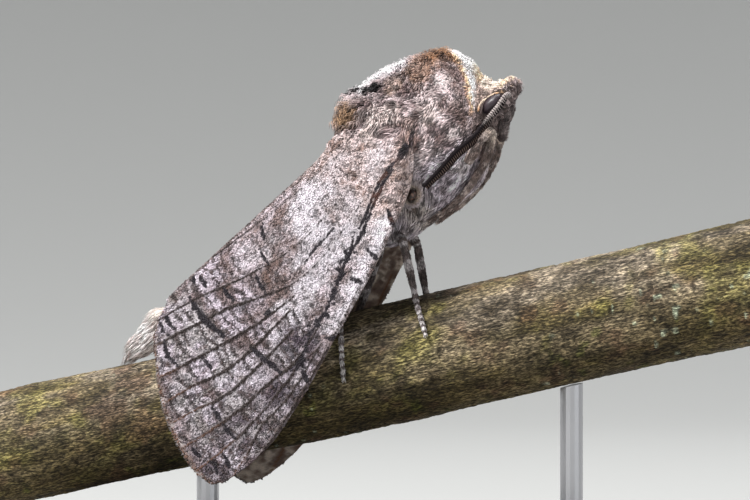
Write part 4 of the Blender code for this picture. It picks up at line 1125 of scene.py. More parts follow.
def thorax_colours(points, share, behind_rim):
    """The thorax: grey, cream and brown patches, a white band, black spots, a paler breast and a painted
    shadow behind the collar.
    """
    along, down = points[:, 0], points[:, 2]
    flat = points[:, (0, 2)]
    mottle = layered(points, 1.6, 101)
    fine = layered(points, 0.55, 103, 2)
    colour = mix((206, 190, 192), (136, 117, 118), ease(0.38, 0.64, mottle))
    colour = mix(colour, (112, 90, 84), ease(0.55, 0.70, layered(points, 1.0, 107)) * 0.6)
    for middle, radius, tone, strength in PATCHES:
        gap = np.linalg.norm(flat - np.array(middle), axis=1) + (layered(points, 1.0, 106) - 0.5) * 1.6
        colour = mix(colour, tone, ease(radius, 0.35 * radius, gap) * strength)
    edge, _ = distance_to_line(flat, LOBE_EDGE)
    colour = mix(colour, (84, 70, 70), ease(0.55, 0.15, edge + 0.5 * (fine - 0.5)) * 0.7)
    crest = ease(-14.6, -17.0, along) * ease(0.30, 0.12, share)
    colour = mix(colour, mix((84, 58, 44), (150, 114, 88), ease(0.35, 0.6, fine)), crest)
    gap, _ = distance_to_line(flat, STREAK[:5])
    streak = ease(0.34, 0.14, gap + 0.25 * (fine - 0.5)) * ease(0.20, 0.35, share)
    colour = mix(colour, (40, 32, 38), streak * 0.9)
    # A painted shadow cast by the collar's rim: a darker band just behind it
    behind = np.exp(-((behind_rim - 1.0) / 0.6) ** 2) * ease(0.12, 0.3, share)
    colour = mix(colour, (108, 90, 86), behind * 0.7)
    band = ease(0.21, 0.09, share + 0.05 * (fine - 0.5)) * ease(-14.6, -13.2, along) * ease(-6.0, -7.0, along)
    colour = mix(colour, (244, 238, 242), band)
    colour = mix(colour, (28, 24, 26), near_spots(points + (fine - 0.5)[:, None] * 0.5))
    breast = mix((242, 232, 244), (170, 158, 166), ease(0.38, 0.60, mottle))
    breast = mix(breast, (176, 165, 156), ease(0.5, 0.65, layered(points, 2.6, 109)) * 0.5)
    flank = ease(2.6, 0.8, np.abs(along + 2.2)) * ease(11.5, 12.8, down)
    breast = mix(breast, (184, 174, 166), flank * 0.6)
    breast = mix(breast, (76, 62, 62), ease(0.55, 0.65, layered(points, 0.9, 110)) * 0.68)
    front = ease(-9.0, -13.5, along) * ease(0.66, 0.82, share)
    breast = mix(breast, (138, 124, 122), front * 0.40)
    colour = mix(colour, breast, ease(10.6, 12.4, down + 0.15 * (along + 10.0)))
    socket = np.hypot((along + 2.5) / 0.95, (down - 12.9) / 1.25) + 0.5 * (fine - 0.5)
    return mix(colour, (66, 50, 40), ease(1.15, 0.75, socket) * 0.9)


def collar_colours(points, behind_rim, behind_neck):
    """The collar: a white band behind a pinkish tan one with a cream edge."""
    down = points[:, 2]
    band = np.interp(down, (4.2, 5.2, 6.2, 8.3, 9.9), (3.0, 1.45, 0.85, 0.65, 0.35))
    white = ease(-band - 0.2, -band + 0.2, behind_rim)
    colour = mix((198, 178, 170), (252, 248, 252), white)
    colour = mix(colour, (166, 144, 136), ease(0.50, 0.66, layered(points, 0.8, 112)) * (1.0 - white) * 0.5)
    edge = np.exp(-((behind_neck - 0.25) / 0.3) ** 2) * ease(7.5, 5.5, down) * ease(2.0, 4.4, down)
    colour = mix(colour, (240, 196, 150), edge * 0.75)
    return mix(colour, (134, 118, 116), ease(8.4, 10.0, down))


def head_colours(points, share):
    """The head: a grey-brown face, a cream crest and a cream rim over each eye."""
    along, aside, down = points[:, 0], np.abs(points[:, 1]), points[:, 2]
    fine = layered(points, 0.55, 103, 2)
    colour = mix((190, 172, 172), (112, 97, 95), ease(0.38, 0.60, layered(points, 0.9, 111)))
    colour = mix(colour, (52, 42, 42), ease(0.52, 0.64, layered(points, 0.55, 113, 2)) * 0.75)
    crown = ease(9.8, 8.9, down + 0.35 * (along + 21.0)) * ease(0.62, 0.40, share)
    colour = mix(colour, (238, 216, 204), crown)
    edge = crown * ease(8.4, 9.2, down) * ease(-20.4, -21.4, along)
    colour = mix(colour, (238, 196, 152), edge * ease(0.35, 0.55, fine) * 0.9)
    eye = np.array(EYE_MIDDLE)
    gap = np.hypot((along - eye[0]) / EYE_HALF_SIZE[0], (down - eye[2]) / EYE_HALF_SIZE[2])
    above = ease(0.6, -0.4, (down - eye[2]) - 0.35 * (along - eye[0]))
    return mix(colour, (238, 196, 154), ease(1.6, 1.3, gap) * above * ease(1.5, 2.5, aside) * 0.9)


def abdomen_colours(points, share):
    """The abdomen: cream rings that turn grey below, and a pale tail."""
    along = points[:, 0]
    colour = mix((228, 208, 190), (150, 141, 148), ease(0.15, 0.55, share) * 0.8)
    rings = np.abs(((along - 6.0) / 3.6) % 1.0 - 0.5)
    colour = mix(colour, (120, 98, 86), ease(0.16, 0.05, rings) * ease(34.0, 30.0, along) * 0.5)
    tail = mix((240, 230, 230), (176, 158, 154), ease(0.54, 0.72, layered(points, 0.8, 115)) * 0.7)
    colour = mix(colour, tail, ease(30.0, 34.0, along) * 0.95)
    return mix(colour, (178, 166, 160), ease(0.60, 0.80, share) * 0.6)


def share_round(turn):
    """0 at the body's top and 1 at its bottom, from the turn round it."""
    return np.abs((turn + math.pi) % (2 * math.pi) - math.pi) / math.pi


def body_colours(points, turn):
    """Colours of skin and coat at moth-frame places, turn 0 being the top."""
    along, down = points[:, 0], points[:, 2]
    behind_rim = behind_line(points, COLLAR_RIM)
    behind_neck = plane_distance(points, NECK_LINE)
    share = share_round(turn)
    fine = layered(points, 0.55, 103, 2)
    colour = mix(head_colours(points, share), collar_colours(points, behind_rim, behind_neck),
                 ease(-0.2, 0.2, behind_neck))
    colour = mix(colour, thorax_colours(points, share, behind_rim), ease(-0.12, 0.12, behind_rim))
    rim = np.exp(-((behind_rim + 0.10) / 0.22) ** 2) * ease(10.2, 9.0, down) * ease(0.2, 2.4, down)
    colour = mix(colour, (228, 176, 128), rim * 0.85)
    colour = mix(colour, abdomen_colours(points, share), ease(3.6, 5.6, along))
    return colour * (0.92 + 0.36 * fine)[:, None]


def body_surface():
    """The skin: the body's form sunk by the depth of the coat."""
    points = body_grid(BODY_ROWS, BODY_SIDES)
    normals = ring_normals(points)
    half = smooth_rows(BODY_SECTIONS, BODY_ROWS)[:, 4]
    depth = np.minimum(COAT_DEPTH, half * 0.35)[:, None, None]
    skin = points - normals * depth
    middle = skin[-1].mean(axis=0)
    ahead = unit((middle - skin[-12].mean(axis=0))[None, :])[0]
    angle = (np.arange(1, FACE_RINGS + 1) / (FACE_RINGS + 0.5) * math.pi / 2)[:, None, None]
    face = middle + (skin[-1] - middle) * np.cos(angle) + ahead * FACE_BULGE * np.sin(angle)
    skin = np.concatenate([skin, face])
    return Surface(skin, ring_normals(skin), True)


def make_closed(name, points, colours, material, replaces=(), end_colour=None):
    """A piece from rings of points, closed at both ends, with its bake map round and along it."""
    rows, columns = points.shape[:2]
    flat = points.reshape(-1, 3)
    ends = np.stack([points[0].mean(axis=0), points[-1].mean(axis=0)])
    count = len(flat)
    ring = np.arange(columns)
    after = (ring + 1) % columns
    last = (rows - 1) * columns
    quads = grid_faces(rows, columns, True)
    tris = np.concatenate([np.column_stack([after, ring, np.full(columns, count)]),
                           np.column_stack([ring + last, after + last, np.full(columns, count + 1)])])
    shades = colours.reshape(-1, 3)
    caps = np.stack([shades[:columns].mean(axis=0), shades[last:].mean(axis=0)])
    if end_colour is not None:
        caps[:] = end_colour
    row = np.repeat(np.arange(rows - 1), columns)
    column = np.tile(np.arange(columns), rows - 1)
    u = np.stack([column, column + 1, column + 1, column], axis=1) / columns
    v = np.stack([row, row, row + 1, row + 1], axis=1) / (rows - 1)
    end_u = np.stack([ring + 1, ring, ring + 0.5], axis=1) / columns
    end_v = np.tile((0.002, 0.002, 0.0), (columns, 1))
    quad_map = np.stack([u, v], axis=2)
    tri_map = np.concatenate([np.stack([end_u, end_v], axis=2),
                              np.stack([end_u[:, (1, 0, 2)], 1.0 - end_v], axis=2)])
    volume = 0.0
    for a, b, c in ((0, 1, 2), (0, 2, 3)):
        corners = [flat[quads[:, k]] - ends[0] for k in (a, b, c)]
        volume += np.sum(corners[0] * np.cross(corners[1], corners[2]))
    if volume < 0:
        quads, tris = quads[:, ::-1], tris[:, ::-1]
        quad_map, tri_map = quad_map[:, ::-1], tri_map[:, ::-1]
    piece = make_piece(name, np.concatenate([flat, ends]), [quads, tris], material,
                       np.concatenate([shades, caps]), None, replaces)
    layer = piece.data.uv_layers.new(name="OFBake")
    rows_map = np.concatenate([quad_map.reshape(-1, 2), tri_map.reshape(-1, 2)])
    layer.data.foreach_set("uv", rows_map.astype(np.float32).reshape(-1))
    return piece


def clear_of_wings(root, normal, wings, reach):
    """Which roots have no wing over them."""
    free = np.ones(len(root), dtype=bool)
    for tree in wings:
        for index in np.nonzero(free)[0]:
            if tree.ray_cast(Vector(root[index]), Vector(normal[index]), reach)[0]:
                free[index] = False
    return free


def clear_of_eyes(root, margin):
    """Which roots lie outside the eyes."""
    offset = (np.column_stack([root[:, 0], np.abs(root[:, 1]), root[:, 2]]) - np.array(EYE_MIDDLE))
    return np.linalg.norm(offset / (np.array(EYE_HALF_SIZE) + margin), axis=1) > 1.0


# The coat of the body: name, where it grows (rearward, and share round from the top), how many
# tufts, their lengths, width and lift, how much they swirl and which way they lie
COATS = (
    ("coat_abdomen", (5.0, 40.0), (0.0, 1.0), 10000, (1.0, 1.9), 0.20, 0.16, 0.4, (1.0, 0.0, 0.05)),
    ("coat_tail", (32.0, 39.5), (0.0, 1.0), 4200, (1.6, 3.4), 0.15, 0.34, 0.25, (1.0, 0.0, 0.0)),
    ("coat_thorax", (-18.6, 5.5), (0.0, 0.52), 19000, (0.45, 1.0), 0.16, 0.34, 2.4, (1.0, 0.0, 0.3)),
    ("coat_breast", (-15.5, 5.5), (0.48, 1.0), 14500, (0.5, 1.2), 0.16, 0.30, 1.8, (1.0, 0.0, 0.1)),
    ("coat_collar", (-20.6, -14.5), (0.0, 0.62), 8000, (0.45, 0.9), 0.13, 0.22, 0.5, (1.0, 0.0, 0.1)),
    ("tuft_collar", (-20.0, -17.8), (0.0, 0.20), 2000, (0.6, 1.0), 0.12, 0.70, 0.4, (0.4, 0.0, 0.1)),
    ("coat_head", (-23.6, -14.5), (0.0, 1.0), 12000, (0.35, 0.70), 0.12, 0.34, 1.2, (0.6, 0.0, 0.7)),
    ("tuft_face", (-23.6, -17.8), (0.0, 1.0), 4200, (0.5, 0.95), 0.12, 0.75, 1.0, (-0.1, 0.0, 0.8)),
    ("tuft_rear", (-6.2, -1.8), (0.0, 0.30), 3000, (1.0, 2.2), 0.13, 0.95, 1.9, (1.0, 0.0, 0.5)),
    ("tuft_saddle", (-3.2, 3.4), (0.0, 0.18), 1100, (1.2, 2.4), 0.13, 0.45, 0.7, (1.0, 0.0, 0.1)),
    ("tuft_streak", (-9.8, -5.4), (0.15, 0.65), 900, (0.4, 0.8), 0.13, 0.85, 0.3, (1.0, 0.0, 0.4)),
    ("tuft_spots", (-10.2, -5.0), (0.0, 0.45), 900, (0.6, 1.1), 0.16, 1.3, 1.2, (1.0, 0.0, 0.1)),
    ("tuft_crest", (-18.9, -14.4), (0.0, 0.15), 1100, (0.3, 1.0), 0.11, 1.05, 2.2, (0.5, 0.0, -0.3)),
    ("tuft_flank", (-5.5, 3.0), (0.50, 0.80), 2400, (1.1, 2.2), 0.13, 0.30, 0.9, (0.6, 0.0, 0.8)),
    ("tuft_back", (-15.2, -6.0), (0.0, 0.40), 3600, (0.5, 0.95), 0.15, 1.0, 1.8, (1.0, 0.0, 0.1)),
    ("tuft_crown", (-23.0, -20.8), (0.0, 0.42), 1500, (0.4, 0.85), 0.11, 0.7, 0.8, (-0.3, 0.0, -0.7)),
)
SHOULDER_REACH = 1.7


def root_edges(outers):
    """A search tree of the wings' edges that lie on the thorax."""
    rows = WING_ROWS // 4
    places = np.concatenate([edge for outer in outers
                             for edge in (outer[0], outer[:rows, -1], outer[:rows, 0])])
    tree = KDTree(len(places))
    for index, place in enumerate(places):
        tree.insert(Vector(place), index)
    tree.balance()
    return tree


def coat_mask(name, points):
    """Where the coats that keep to one feature grow, from 0 to 1."""
    if name == "tuft_spots":
        return near_spots(points, 0.1)
    if name == "tuft_streak":
        return ease(0.26, 0.10, distance_to_line(points[:, (0, 2)], STREAK[:5])[0])
    if name == "tuft_face":
        return ease(9.6, 10.4, points[:, 2] + 0.3 * (points[:, 0] + 21.0))
    if name == "tuft_crest":
        return ease(0.25, 0.5, behind_line(points, COLLAR_RIM))
    return np.ones(len(points))


def build_body(wings, outers, chooser):
    """The skin and the coat of the body and head."""
    surface = body_surface()
    places = surface.points.reshape(-1, 3)
    turn = np.arange(BODY_SIDES) / BODY_SIDES * 2 * math.pi
    colours = body_colours(places, np.broadcast_to(turn, surface.points.shape[:2]).reshape(-1))
    # The skin is painted at half the coat's colour, as painted shade deep between the tufts
    make_closed("body_skin", to_world(places).reshape(surface.points.shape), colours * 0.5, SKIN,
                ("head", "collar", "thorax", "abdomen"))

    along = surface.points[..., 0]
    around = share_round(turn)[None, :]
    edges = root_edges(outers)
    for name, (rear, front), (top, low), count, lengths, width, lift, swirl, way in COATS:
        density = ((along >= rear) & (along <= front) & (around >= top) & (around <= low)).astype(float)
        density = density * coat_mask(name, places).reshape(density.shape)
        root, normal, place = surface.draw(count, chooser, density + 1e-9)
        keep = clear_of_eyes(root, 0.12) & clear_of_wings(root, normal, wings, 3.0)
        root, normal, place = root[keep], normal[keep], place[keep]
        colour = flecked(body_colours(root + normal * 0.4, place[:, 1] * 2 * math.pi), root, chooser)
        length = lengths[0] + (lengths[1] - lengths[0]) * chooser.random(len(root)) ** 1.5
        rise = lift * (0.5 + chooser.random(len(root)))
        near = np.array([edges.find(Vector(point))[2] for point in root])
        by_wings = (root[:, 0] > -12.0) & (root[:, 0] < 4.0)
        bridge = ease(SHOULDER_REACH, 0.3, near) * by_wings
        length = np.maximum(length, bridge * (1.2 + 1.0 * chooser.random(len(root))))
        rise = np.maximum(rise, bridge * (0.6 + 0.5 * chooser.random(len(root))))
        make_tufts(name, root, normal, rearward_lie(root, swirl, 127, way, 1.5), length, width, colour,
                   np.column_stack([place[:, 1], place[:, 0]]), COAT, rise)


# Branch

def branch_core(along):
    """Height of the branch's core."""
    return BRANCH_MIDDLE_HEIGHT + along * math.tan(BRANCH_RISE)


def branch_radius(along, turn):
    """Radius of the branch, with its taper, swellings and ribs, as in the solids."""
    share = (along + BRANCH_HALF_LENGTH) / (2 * BRANCH_HALF_LENGTH)
    radius = BRANCH_RADIUS_LOW_END + (BRANCH_RADIUS_HIGH_END - BRANCH_RADIUS_LOW_END) * share
    swell = np.sin(along * 0.11 + 1.0 + np.cos(turn)) * 0.6
    ribs = np.sin(3 * turn + along * 0.05) * 0.5 + np.sin(5 * turn - along * 0.09 + 2.0) * 0.3
    return radius + BRANCH_ROUGHNESS * (swell + ribs)


def branch_points(along, turn, lift=0.0):
    """Places on the branch in world millimetres: turn 0 is on the left, a quarter turn is up."""
    radius = branch_radius(along, turn) + lift
    upright = radius / math.cos(BRANCH_RISE)
    return np.stack([along, radius * np.cos(turn), branch_core(along) + upright * np.sin(turn)], axis=-1)


def build_branch():
    """The bark, with its fibres, pits, algae and lichen, and the two cut ends."""
    along = np.linspace(-BRANCH_HALF_LENGTH, BRANCH_HALF_LENGTH, BRANCH_RINGS)[:, None]
    turn = (np.arange(BRANCH_SIDES) / BRANCH_SIDES * 2 * math.pi)[None, :]
    along, turn = np.broadcast_arrays(along, turn)
    unrolled = np.stack([along, np.cos(turn) * 7.5, np.sin(turn) * 7.5], axis=2).reshape(-1, 3)
    def drawn_out(share):
        return unrolled * np.array((share, 1.0, 1.0))
    fibre = layered(drawn_out(0.12), 0.8, 131, 3)
    strip = layered(drawn_out(0.25), 2.6, 137, 3)
    crack = ease(0.05, 0.01, np.abs(strip - 0.5)) * ease(0.5, 0.65, noise(unrolled, 5.0, 138))
    pit = ease(0.78, 0.88, noise(unrolled, 1.1, 139))
    height = (fibre - 0.5) * 0.4 - crack * 0.12 - pit * 0.15 + (layered(unrolled, 0.5, 149, 2) - 0.5) * 0.22
    up = np.sin(turn).reshape(-1)
    algae = ease(0.50, 0.70, layered(unrolled, 3.6, 151)) * (0.35 + 0.65 * ease(-0.9, 0.1, up))
    dots = ease(0.84, 0.92, noise(unrolled, 0.9, 163)) * ease(0.50, 0.62, noise(unrolled, 6.0, 167))
    colour = mix((112, 100, 78), (86, 76, 50), ease(0.38, 0.62, strip))
    for tone, share in (
        ((136, 125, 114), ease(0.44, 0.60, layered(drawn_out(0.3), 3.0, 141)) * ease(-0.3, 0.6, up) * 0.50),
        ((80, 68, 42), ease(0.0, -0.75, up) * 0.66),
        ((110, 104, 56), algae * 0.6),
        ((84, 90, 34), ease(0.66, 0.76, layered(unrolled, 2.0, 153)) * ease(0.3, -0.4, up) * 0.5),
        ((84, 58, 46), ease(0.60, 0.74, layered(unrolled, 3.2, 157)) * 0.45),
        ((36, 29, 20), crack * 0.6 + pit * 0.5),
        ((54, 45, 32), ease(0.55, 0.70, layered(drawn_out(0.5), 1.4, 159)) * 0.62),
        ((170, 180, 156), dots * 0.6),
    ):
        colour = mix(colour, tone, share)
    patch = ease(0.36, 0.62, layered(drawn_out(0.45), 2.0, 171))
    colour *= ((0.86 + 0.28 * fibre) * (0.74 + 0.58 * patch))[:, None]
    height = (height + dots * 0.12).reshape(along.shape)
    points = branch_points(along, turn, np.clip(height, -0.5, 0.24) - 0.05)
    make_closed("bark", points * MM, colour, BARK, ("branch",), rgb(112, 92, 66))
    build_cut_end("low", -1.0)
    build_cut_end("high", 1.0)


def build_cut_end(name, sign):
    """The sawn face of one end: pale wood with year rings, fine cracks and a dark pith."""
    rows, sides = 40, 96
    turn = np.arange(sides) / sides * 2 * math.pi
    share = np.concatenate([[0.95], np.linspace(0.95, 0.015, rows - 1)])
    depth = np.where(np.arange(rows) == 0, -0.12, 0.05)
    end = sign * BRANCH_HALF_LENGTH
    rim = branch_points(np.full(sides, end), turn, -0.25)
    middle = np.array((end, 0.0, branch_core(end)))
    points = middle + (rim - middle)[None, :, :] * share[:, None, None]
    points[..., 0] += (sign * depth)[:, None]
    reach = np.repeat(share, sides)
    around = np.tile(np.column_stack([np.cos(turn), np.sin(turn)]), (rows, 1))
    wobble = noise(around * 3.0, 1.0, 231) * 0.25 + noise(around * reach[:, None] * 7.5, 1.4, 233) * 0.2
    rings = 0.5 + 0.5 * np.cos((reach + 0.10 * wobble) * YEAR_RINGS * 2 * math.pi)
    colour = mix((196, 172, 136), (158, 130, 96), ease(0.45, 0.95, rings))
    cracks = ease(0.10, 0.02, np.abs(noise(around * 6.0, 1.0, 235) - 0.5)) * ease(0.95, 0.6, reach)
    colour = mix(colour, (96, 74, 54), cracks * 0.5)
    colour = mix(colour, (88, 64, 44), ease(0.10, 0.04, reach))
    colour = mix(colour, (74, 58, 42), ease(0.90, 0.94, reach))
    make_closed("cut_" + name, points * MM, colour.reshape(rows, sides, 3), SKIN)


# Head parts and legs

def nearest_on_body(point):
    """The closest place on the body's outer form and its outward direction."""
    place, normal, _, _ = BODY_TREE.find_nearest(Vector(point))
    return np.array(place), np.array(normal)


def lifted(point, lift):
    """The closest place on the body, raised from it."""
    place, normal = nearest_on_body(point)
    return place + normal * lift


def held_clear(point, lift):
    """A point moved out until it stands clear of the body."""
    place, normal = nearest_on_body(point)
    height = float(np.dot(np.asarray(point) - place, normal))
    return np.asarray(point, dtype=float) + normal * max(0.0, lift - height)


def from_side(along, down, side, lift):
    """Where a line across the body from one side meets it, raised from it."""
    place, normal, _, _ = BODY_TREE.ray_cast(Vector((along, side * 40.0, down)), Vector((0.0, -side, 0.0)))
    return np.array(place + normal * lift)


def ball(rows, sides, edge):
    """A grid of points on a ball of radius one, open by the angle edge at its poles."""
    turn = np.linspace(0, 2 * math.pi, sides, endpoint=False)[None, :]
    tilt = np.linspace(edge, math.pi - edge, rows)[:, None]
    across = np.sin(tilt)
    return np.stack([across * np.cos(turn), across * np.sin(turn), np.cos(tilt) + turn * 0], axis=2)


def on_side(points, side):
    """Points of the left side (side +1) as they are, or mirrored to the right (side -1)."""
    return np.array(points) * np.array((1.0, side, 1.0))


def eye_grid(side, rows, sides, edge):
    """Points of one eye's form."""
    return ball(rows, sides, edge) * np.array(EYE_HALF_SIZE) + on_side(EYE_MIDDLE, side)


def tube_grid(path, radii, sides):
    """Rings of points round a path, and the way ahead at each ring."""
    path = np.asarray(path, dtype=float)
    ahead = unit(np.gradient(path, axis=0))
    first = np.cross(ahead[0], (0.31, 0.22, 0.92))
    across = []
    last = first / np.linalg.norm(first)
    for direction in ahead:
        last = last - direction * np.dot(last, direction)
        last = last / np.linalg.norm(last)
        across.append(last)
    across = np.array(across)
    other = np.cross(ahead, across)
    turn = np.linspace(0, 2 * math.pi, sides, endpoint=False)[:, None]
    ring = across[:, None, :] * np.cos(turn) + other[:, None, :] * np.sin(turn)
    return path[:, None, :] + ring * radii[:, None, None], ahead


def build_tube(name, grid, colour_of, material, replaces=()):
    """A closed piece from rings of moth-frame points, coloured by share along and place."""
    rows, columns = grid.shape[:2]
    share = np.repeat(np.linspace(0, 1, rows), columns)
    colours = colour_of(share, grid.reshape(-1, 3)).reshape(rows, columns, 3)
    points = to_world(grid.reshape(-1, 3)).reshape(grid.shape)
    return make_closed(name, points, colours, material, replaces)


def antenna_path(side):
    """The feeler's middle line, laid along the head and breast."""
    lift = 0.34 + GAP + 0.12
    eye = tree_of(eye_grid(side, 20, 32, 0.02).reshape(-1, 3), grid_faces(20, 32, True)[:, ::-1])
    points = [lifted(on_side(ANTENNA_ROOT, side), 0.0)]
    for along, down in ANTENNA_PATH:
        point = Vector(from_side(along, down - ANTENNA_RISE, side, lift))
        place, normal, _, _ = eye.find_nearest(point)
        short = 0.5 * lift - (point - place).dot(normal)
        points.append(np.array(point + normal * max(0.0, short)))
    smooth = smooth_rows(points, 13)
    smooth = np.array([smooth[0]] + [held_clear(point, lift) for point in smooth[1:]])
    return smooth_rows(smooth, 331)


def feeler_shades(part, places):
    """Pale ringed scales on the feeler's first third, and dark horn after it."""
    ringed = ease(0.25, 0.75, 0.5 + 0.5 * np.cos(part * FEELER_RINGS * 2 * math.pi))
    colour = mix(mix((72, 62, 62), (186, 176, 174), ringed), (26, 20, 23), ease(0.24, 0.36, part))
    return colour * (0.8 + 0.4 * layered(places, 0.2, 173))[:, None]


def vane_shades(part, places):
    """The dark web between the feeler's teeth."""
    return rgb(24, 18, 21) * (0.7 + 0.6 * layered(places, 0.3, 175))[:, None]


def build_antenna(side_name, side, chooser):
    """A comb-like feeler: ringed shaft, a web with teeth, pale scales above."""
    path = antenna_path(side)
    share = np.linspace(0, 1, len(path))
    radius = ANTENNA_RADIUS + (ANTENNA_TIP_RADIUS - ANTENNA_RADIUS) * share
    fuller = ease(0.22, 0.40, share)
    radius = radius * (0.80 + 0.20 * fuller)
    ringed = 1.0 + 0.12 * np.cos(share * FEELER_RINGS * 2 * math.pi)
    root_knob = 0.6 * np.exp(-((share - 0.02) / 0.025) ** 2)
    grid, ahead = tube_grid(path, radius * (ringed + root_knob), 14)
    build_tube("antenna_shaft_" + side_name, grid, feeler_shades, FEELER, ("antenna_" + side_name,))

    outward = np.array([nearest_on_body(point)[1] for point in path])
    sweep = unit(np.cross(ahead, outward))
    sweep = sweep * np.sign(sweep[:, 2:3] + 1e-6)
    narrow = (0.62 + 0.38 * fuller) * (1.0 - 0.25 * ease(0.75, 1.0, share))
    half = VANE_HALF_WIDTH * ease(0.03, 0.10, share) * narrow + 0.05
    turn = np.linspace(0, 2 * math.pi, 12, endpoint=False)
    middle = path + sweep * (half * 0.95)[:, None] - outward * 0.04
    wide = sweep[:, None, :] * np.cos(turn)[None, :, None] * half[:, None, None]
    vane = middle[:, None, :] + wide + outward[:, None, :] * np.sin(turn)[None, :, None] * 0.10
    build_tube("antenna_vane_" + side_name, vane[8:-2], vane_shades, FEELER)

    where = np.arange(2, FEELER_RINGS) / FEELER_RINGS
    index = (where * (len(path) - 1)).astype(int)
    browner = ease(0.22, 0.36, where)
    maps = np.column_stack([np.full(len(where), 0.5), where])
    make_tufts("antenna_comb_" + side_name, path[index] + outward[index] * 0.13, outward[index],
               unit(sweep[index] + ahead[index] * 0.25), half[index] * 2.2, 0.14 - 0.01 * browner,
               mix((166, 154, 152), (122, 102, 94), browner), maps, FEELER, 0.04, sink=0.0,
               root_painted_shade=0.7)

    count = FEELER_SCALES
    place = 0.42 * chooser.random(count)
    index = (place * (len(path) - 1)).astype(int)
    outward = outward[index]
    cross = unit(np.cross(ahead[index], outward))
    tilt = (chooser.random(count) - 0.5) * 2.2
    normal = outward * np.cos(tilt)[:, None] + cross * np.sin(tilt)[:, None]
    root = path[index] + normal * (radius[index] * 0.86)[:, None]
    pale = 1.0 - ease(0.26, 0.40, place + 0.06 * chooser.standard_normal(count))
    ringed = 0.55 + 0.45 * np.cos(place * FEELER_RINGS * 2 * math.pi)
    size = 0.14 + 0.08 * chooser.random(count)
    make_scales("antenna_scales_" + side_name, root, normal, ahead[index], size, size * 0.6,
                mix((52, 44, 44), (206, 194, 190), pale * (0.35 + 0.65 * ringed)),
                np.column_stack([tilt / 7 + 0.5, place]), SCALE)


def build_eye(side_name, side):
    """A smooth faceted eye."""
    def shades(part, places):
        return mix((36, 27, 33), (64, 52, 60), layered(places, 1.2, 179))
    grid = eye_grid(side, 48, 72, 0.03)
    build_tube("eye_ball_" + side_name, grid, shades, EYE, ("eye_" + side_name,))


def build_eye_rim(side_name, side, chooser):
    """Cream and orange scales along the upper and rear edge of the eye."""
    count = EYE_RIM_TUFTS
    angle = np.radians(195.0 + 125.0 * chooser.random(count))
    wider = 1.0 + 0.10 * chooser.random(count)
    roots, normals = [], []
    for turn, scale in zip(angle, wider):
        along = EYE_MIDDLE[0] - EYE_HALF_SIZE[0] * scale * math.cos(turn)
        down = EYE_MIDDLE[2] + EYE_HALF_SIZE[2] * scale * math.sin(turn)
        roots.append(from_side(along, down, side, -0.05))
        normals.append(nearest_on_body(roots[-1])[1])
    lie = np.column_stack([np.sin(angle), np.zeros(count), np.cos(angle)]) * np.array(EYE_HALF_SIZE)
    ends = ease(0.5, 1.0, np.abs(angle - math.radians(257.0)))
    colour = mix((244, 222, 200), (216, 158, 108), ends * (0.4 + 0.6 * chooser.random(count)))
    maps = np.column_stack([angle / 7.0, wider - 0.7])
    make_tufts("eye_rim_" + side_name, np.array(roots), np.array(normals), unit(lie),
               0.28 + 0.2 * chooser.random(count), 0.09, colour, maps, COAT, 0.35)


def build_boss(side_name, side, chooser):
    """The knob at the front wing's joint, in a ring of hair-scales."""
    middle = from_side(BOSS_PLACE[0], BOSS_PLACE[1], side, 0.62)
    form = ball(26, 40, 0.03)
    points = middle + form * np.array(BOSS_HALF_SIZE)
    points = points + (layered(points.reshape(-1, 3), 0.5, 183).reshape(26, 40, 1) - 0.5) * form * 0.16
    def shades(part, places):
        return mix((44, 30, 26), (122, 92, 78), ease(0.58, 0.72, layered(places, 0.4, 185)))
    build_tube("wing_boss_" + side_name, points, shades, HORN)
    count = BOSS_TUFTS
    angle = 2 * math.pi * chooser.random(count)
    reach = 0.95 + 1.05 * chooser.random(count) ** 1.4 + 0.30 * np.sin(angle * 2.0 + 0.6)
    offset = np.column_stack([np.cos(angle) * reach * BOSS_HALF_SIZE[0], np.zeros(count),
                              np.sin(angle) * reach * BOSS_HALF_SIZE[2]])
    root = middle + offset - np.array((0.0, side * 0.25, 0.0))
    normal = unit(np.tile((0.0, side, -0.15), (count, 1)))
    lie = unit(np.column_stack([-np.sin(angle), np.zeros(count), np.cos(angle)]) + 0.6 * unit(offset))
    lit = 0.30 + 0.60 * ease(0.4, -0.6, np.sin(angle)) * ease(0.9, 1.2, reach)
    colour = mix((92, 74, 64), (224, 208, 194), lit * chooser.random(count) ** 0.5)
    colour = mix(colour, (172, 160, 164), ease(1.15, 1.6, reach) * 0.8)
    make_tufts("boss_ring_" + side_name, root, normal, lie, 0.5 + 0.4 * chooser.random(count), 0.13, colour,
               np.column_stack([angle / 7.0, reach * 0.5]), COAT, 0.3)


def tube_coat(name, grid, ahead, count, lengths, width, colour_of, chooser, lift):
    """Tufts on a tube, laid along it."""
    root, normal, place = Surface(grid, ring_normals(grid), True).draw(count, chooser)
    row = np.minimum((place[:, 0] * (len(ahead) - 1)).astype(int), len(ahead) - 1)
    lie = ahead[row] + 0.25 * chooser.standard_normal((count, 3))
    colour = flecked(colour_of(place[:, 0], root), root, chooser, 0.62, 0.4, 0.5, 1.15)
    length = lengths[0] + (lengths[1] - lengths[0]) * chooser.random(count)
    make_tufts(name, root, normal, lie, length, width, colour, np.column_stack([place[:, 1], place[:, 0]]),
               COAT, lift * (0.4 + 1.2 * chooser.random(count)), sink=0.06)


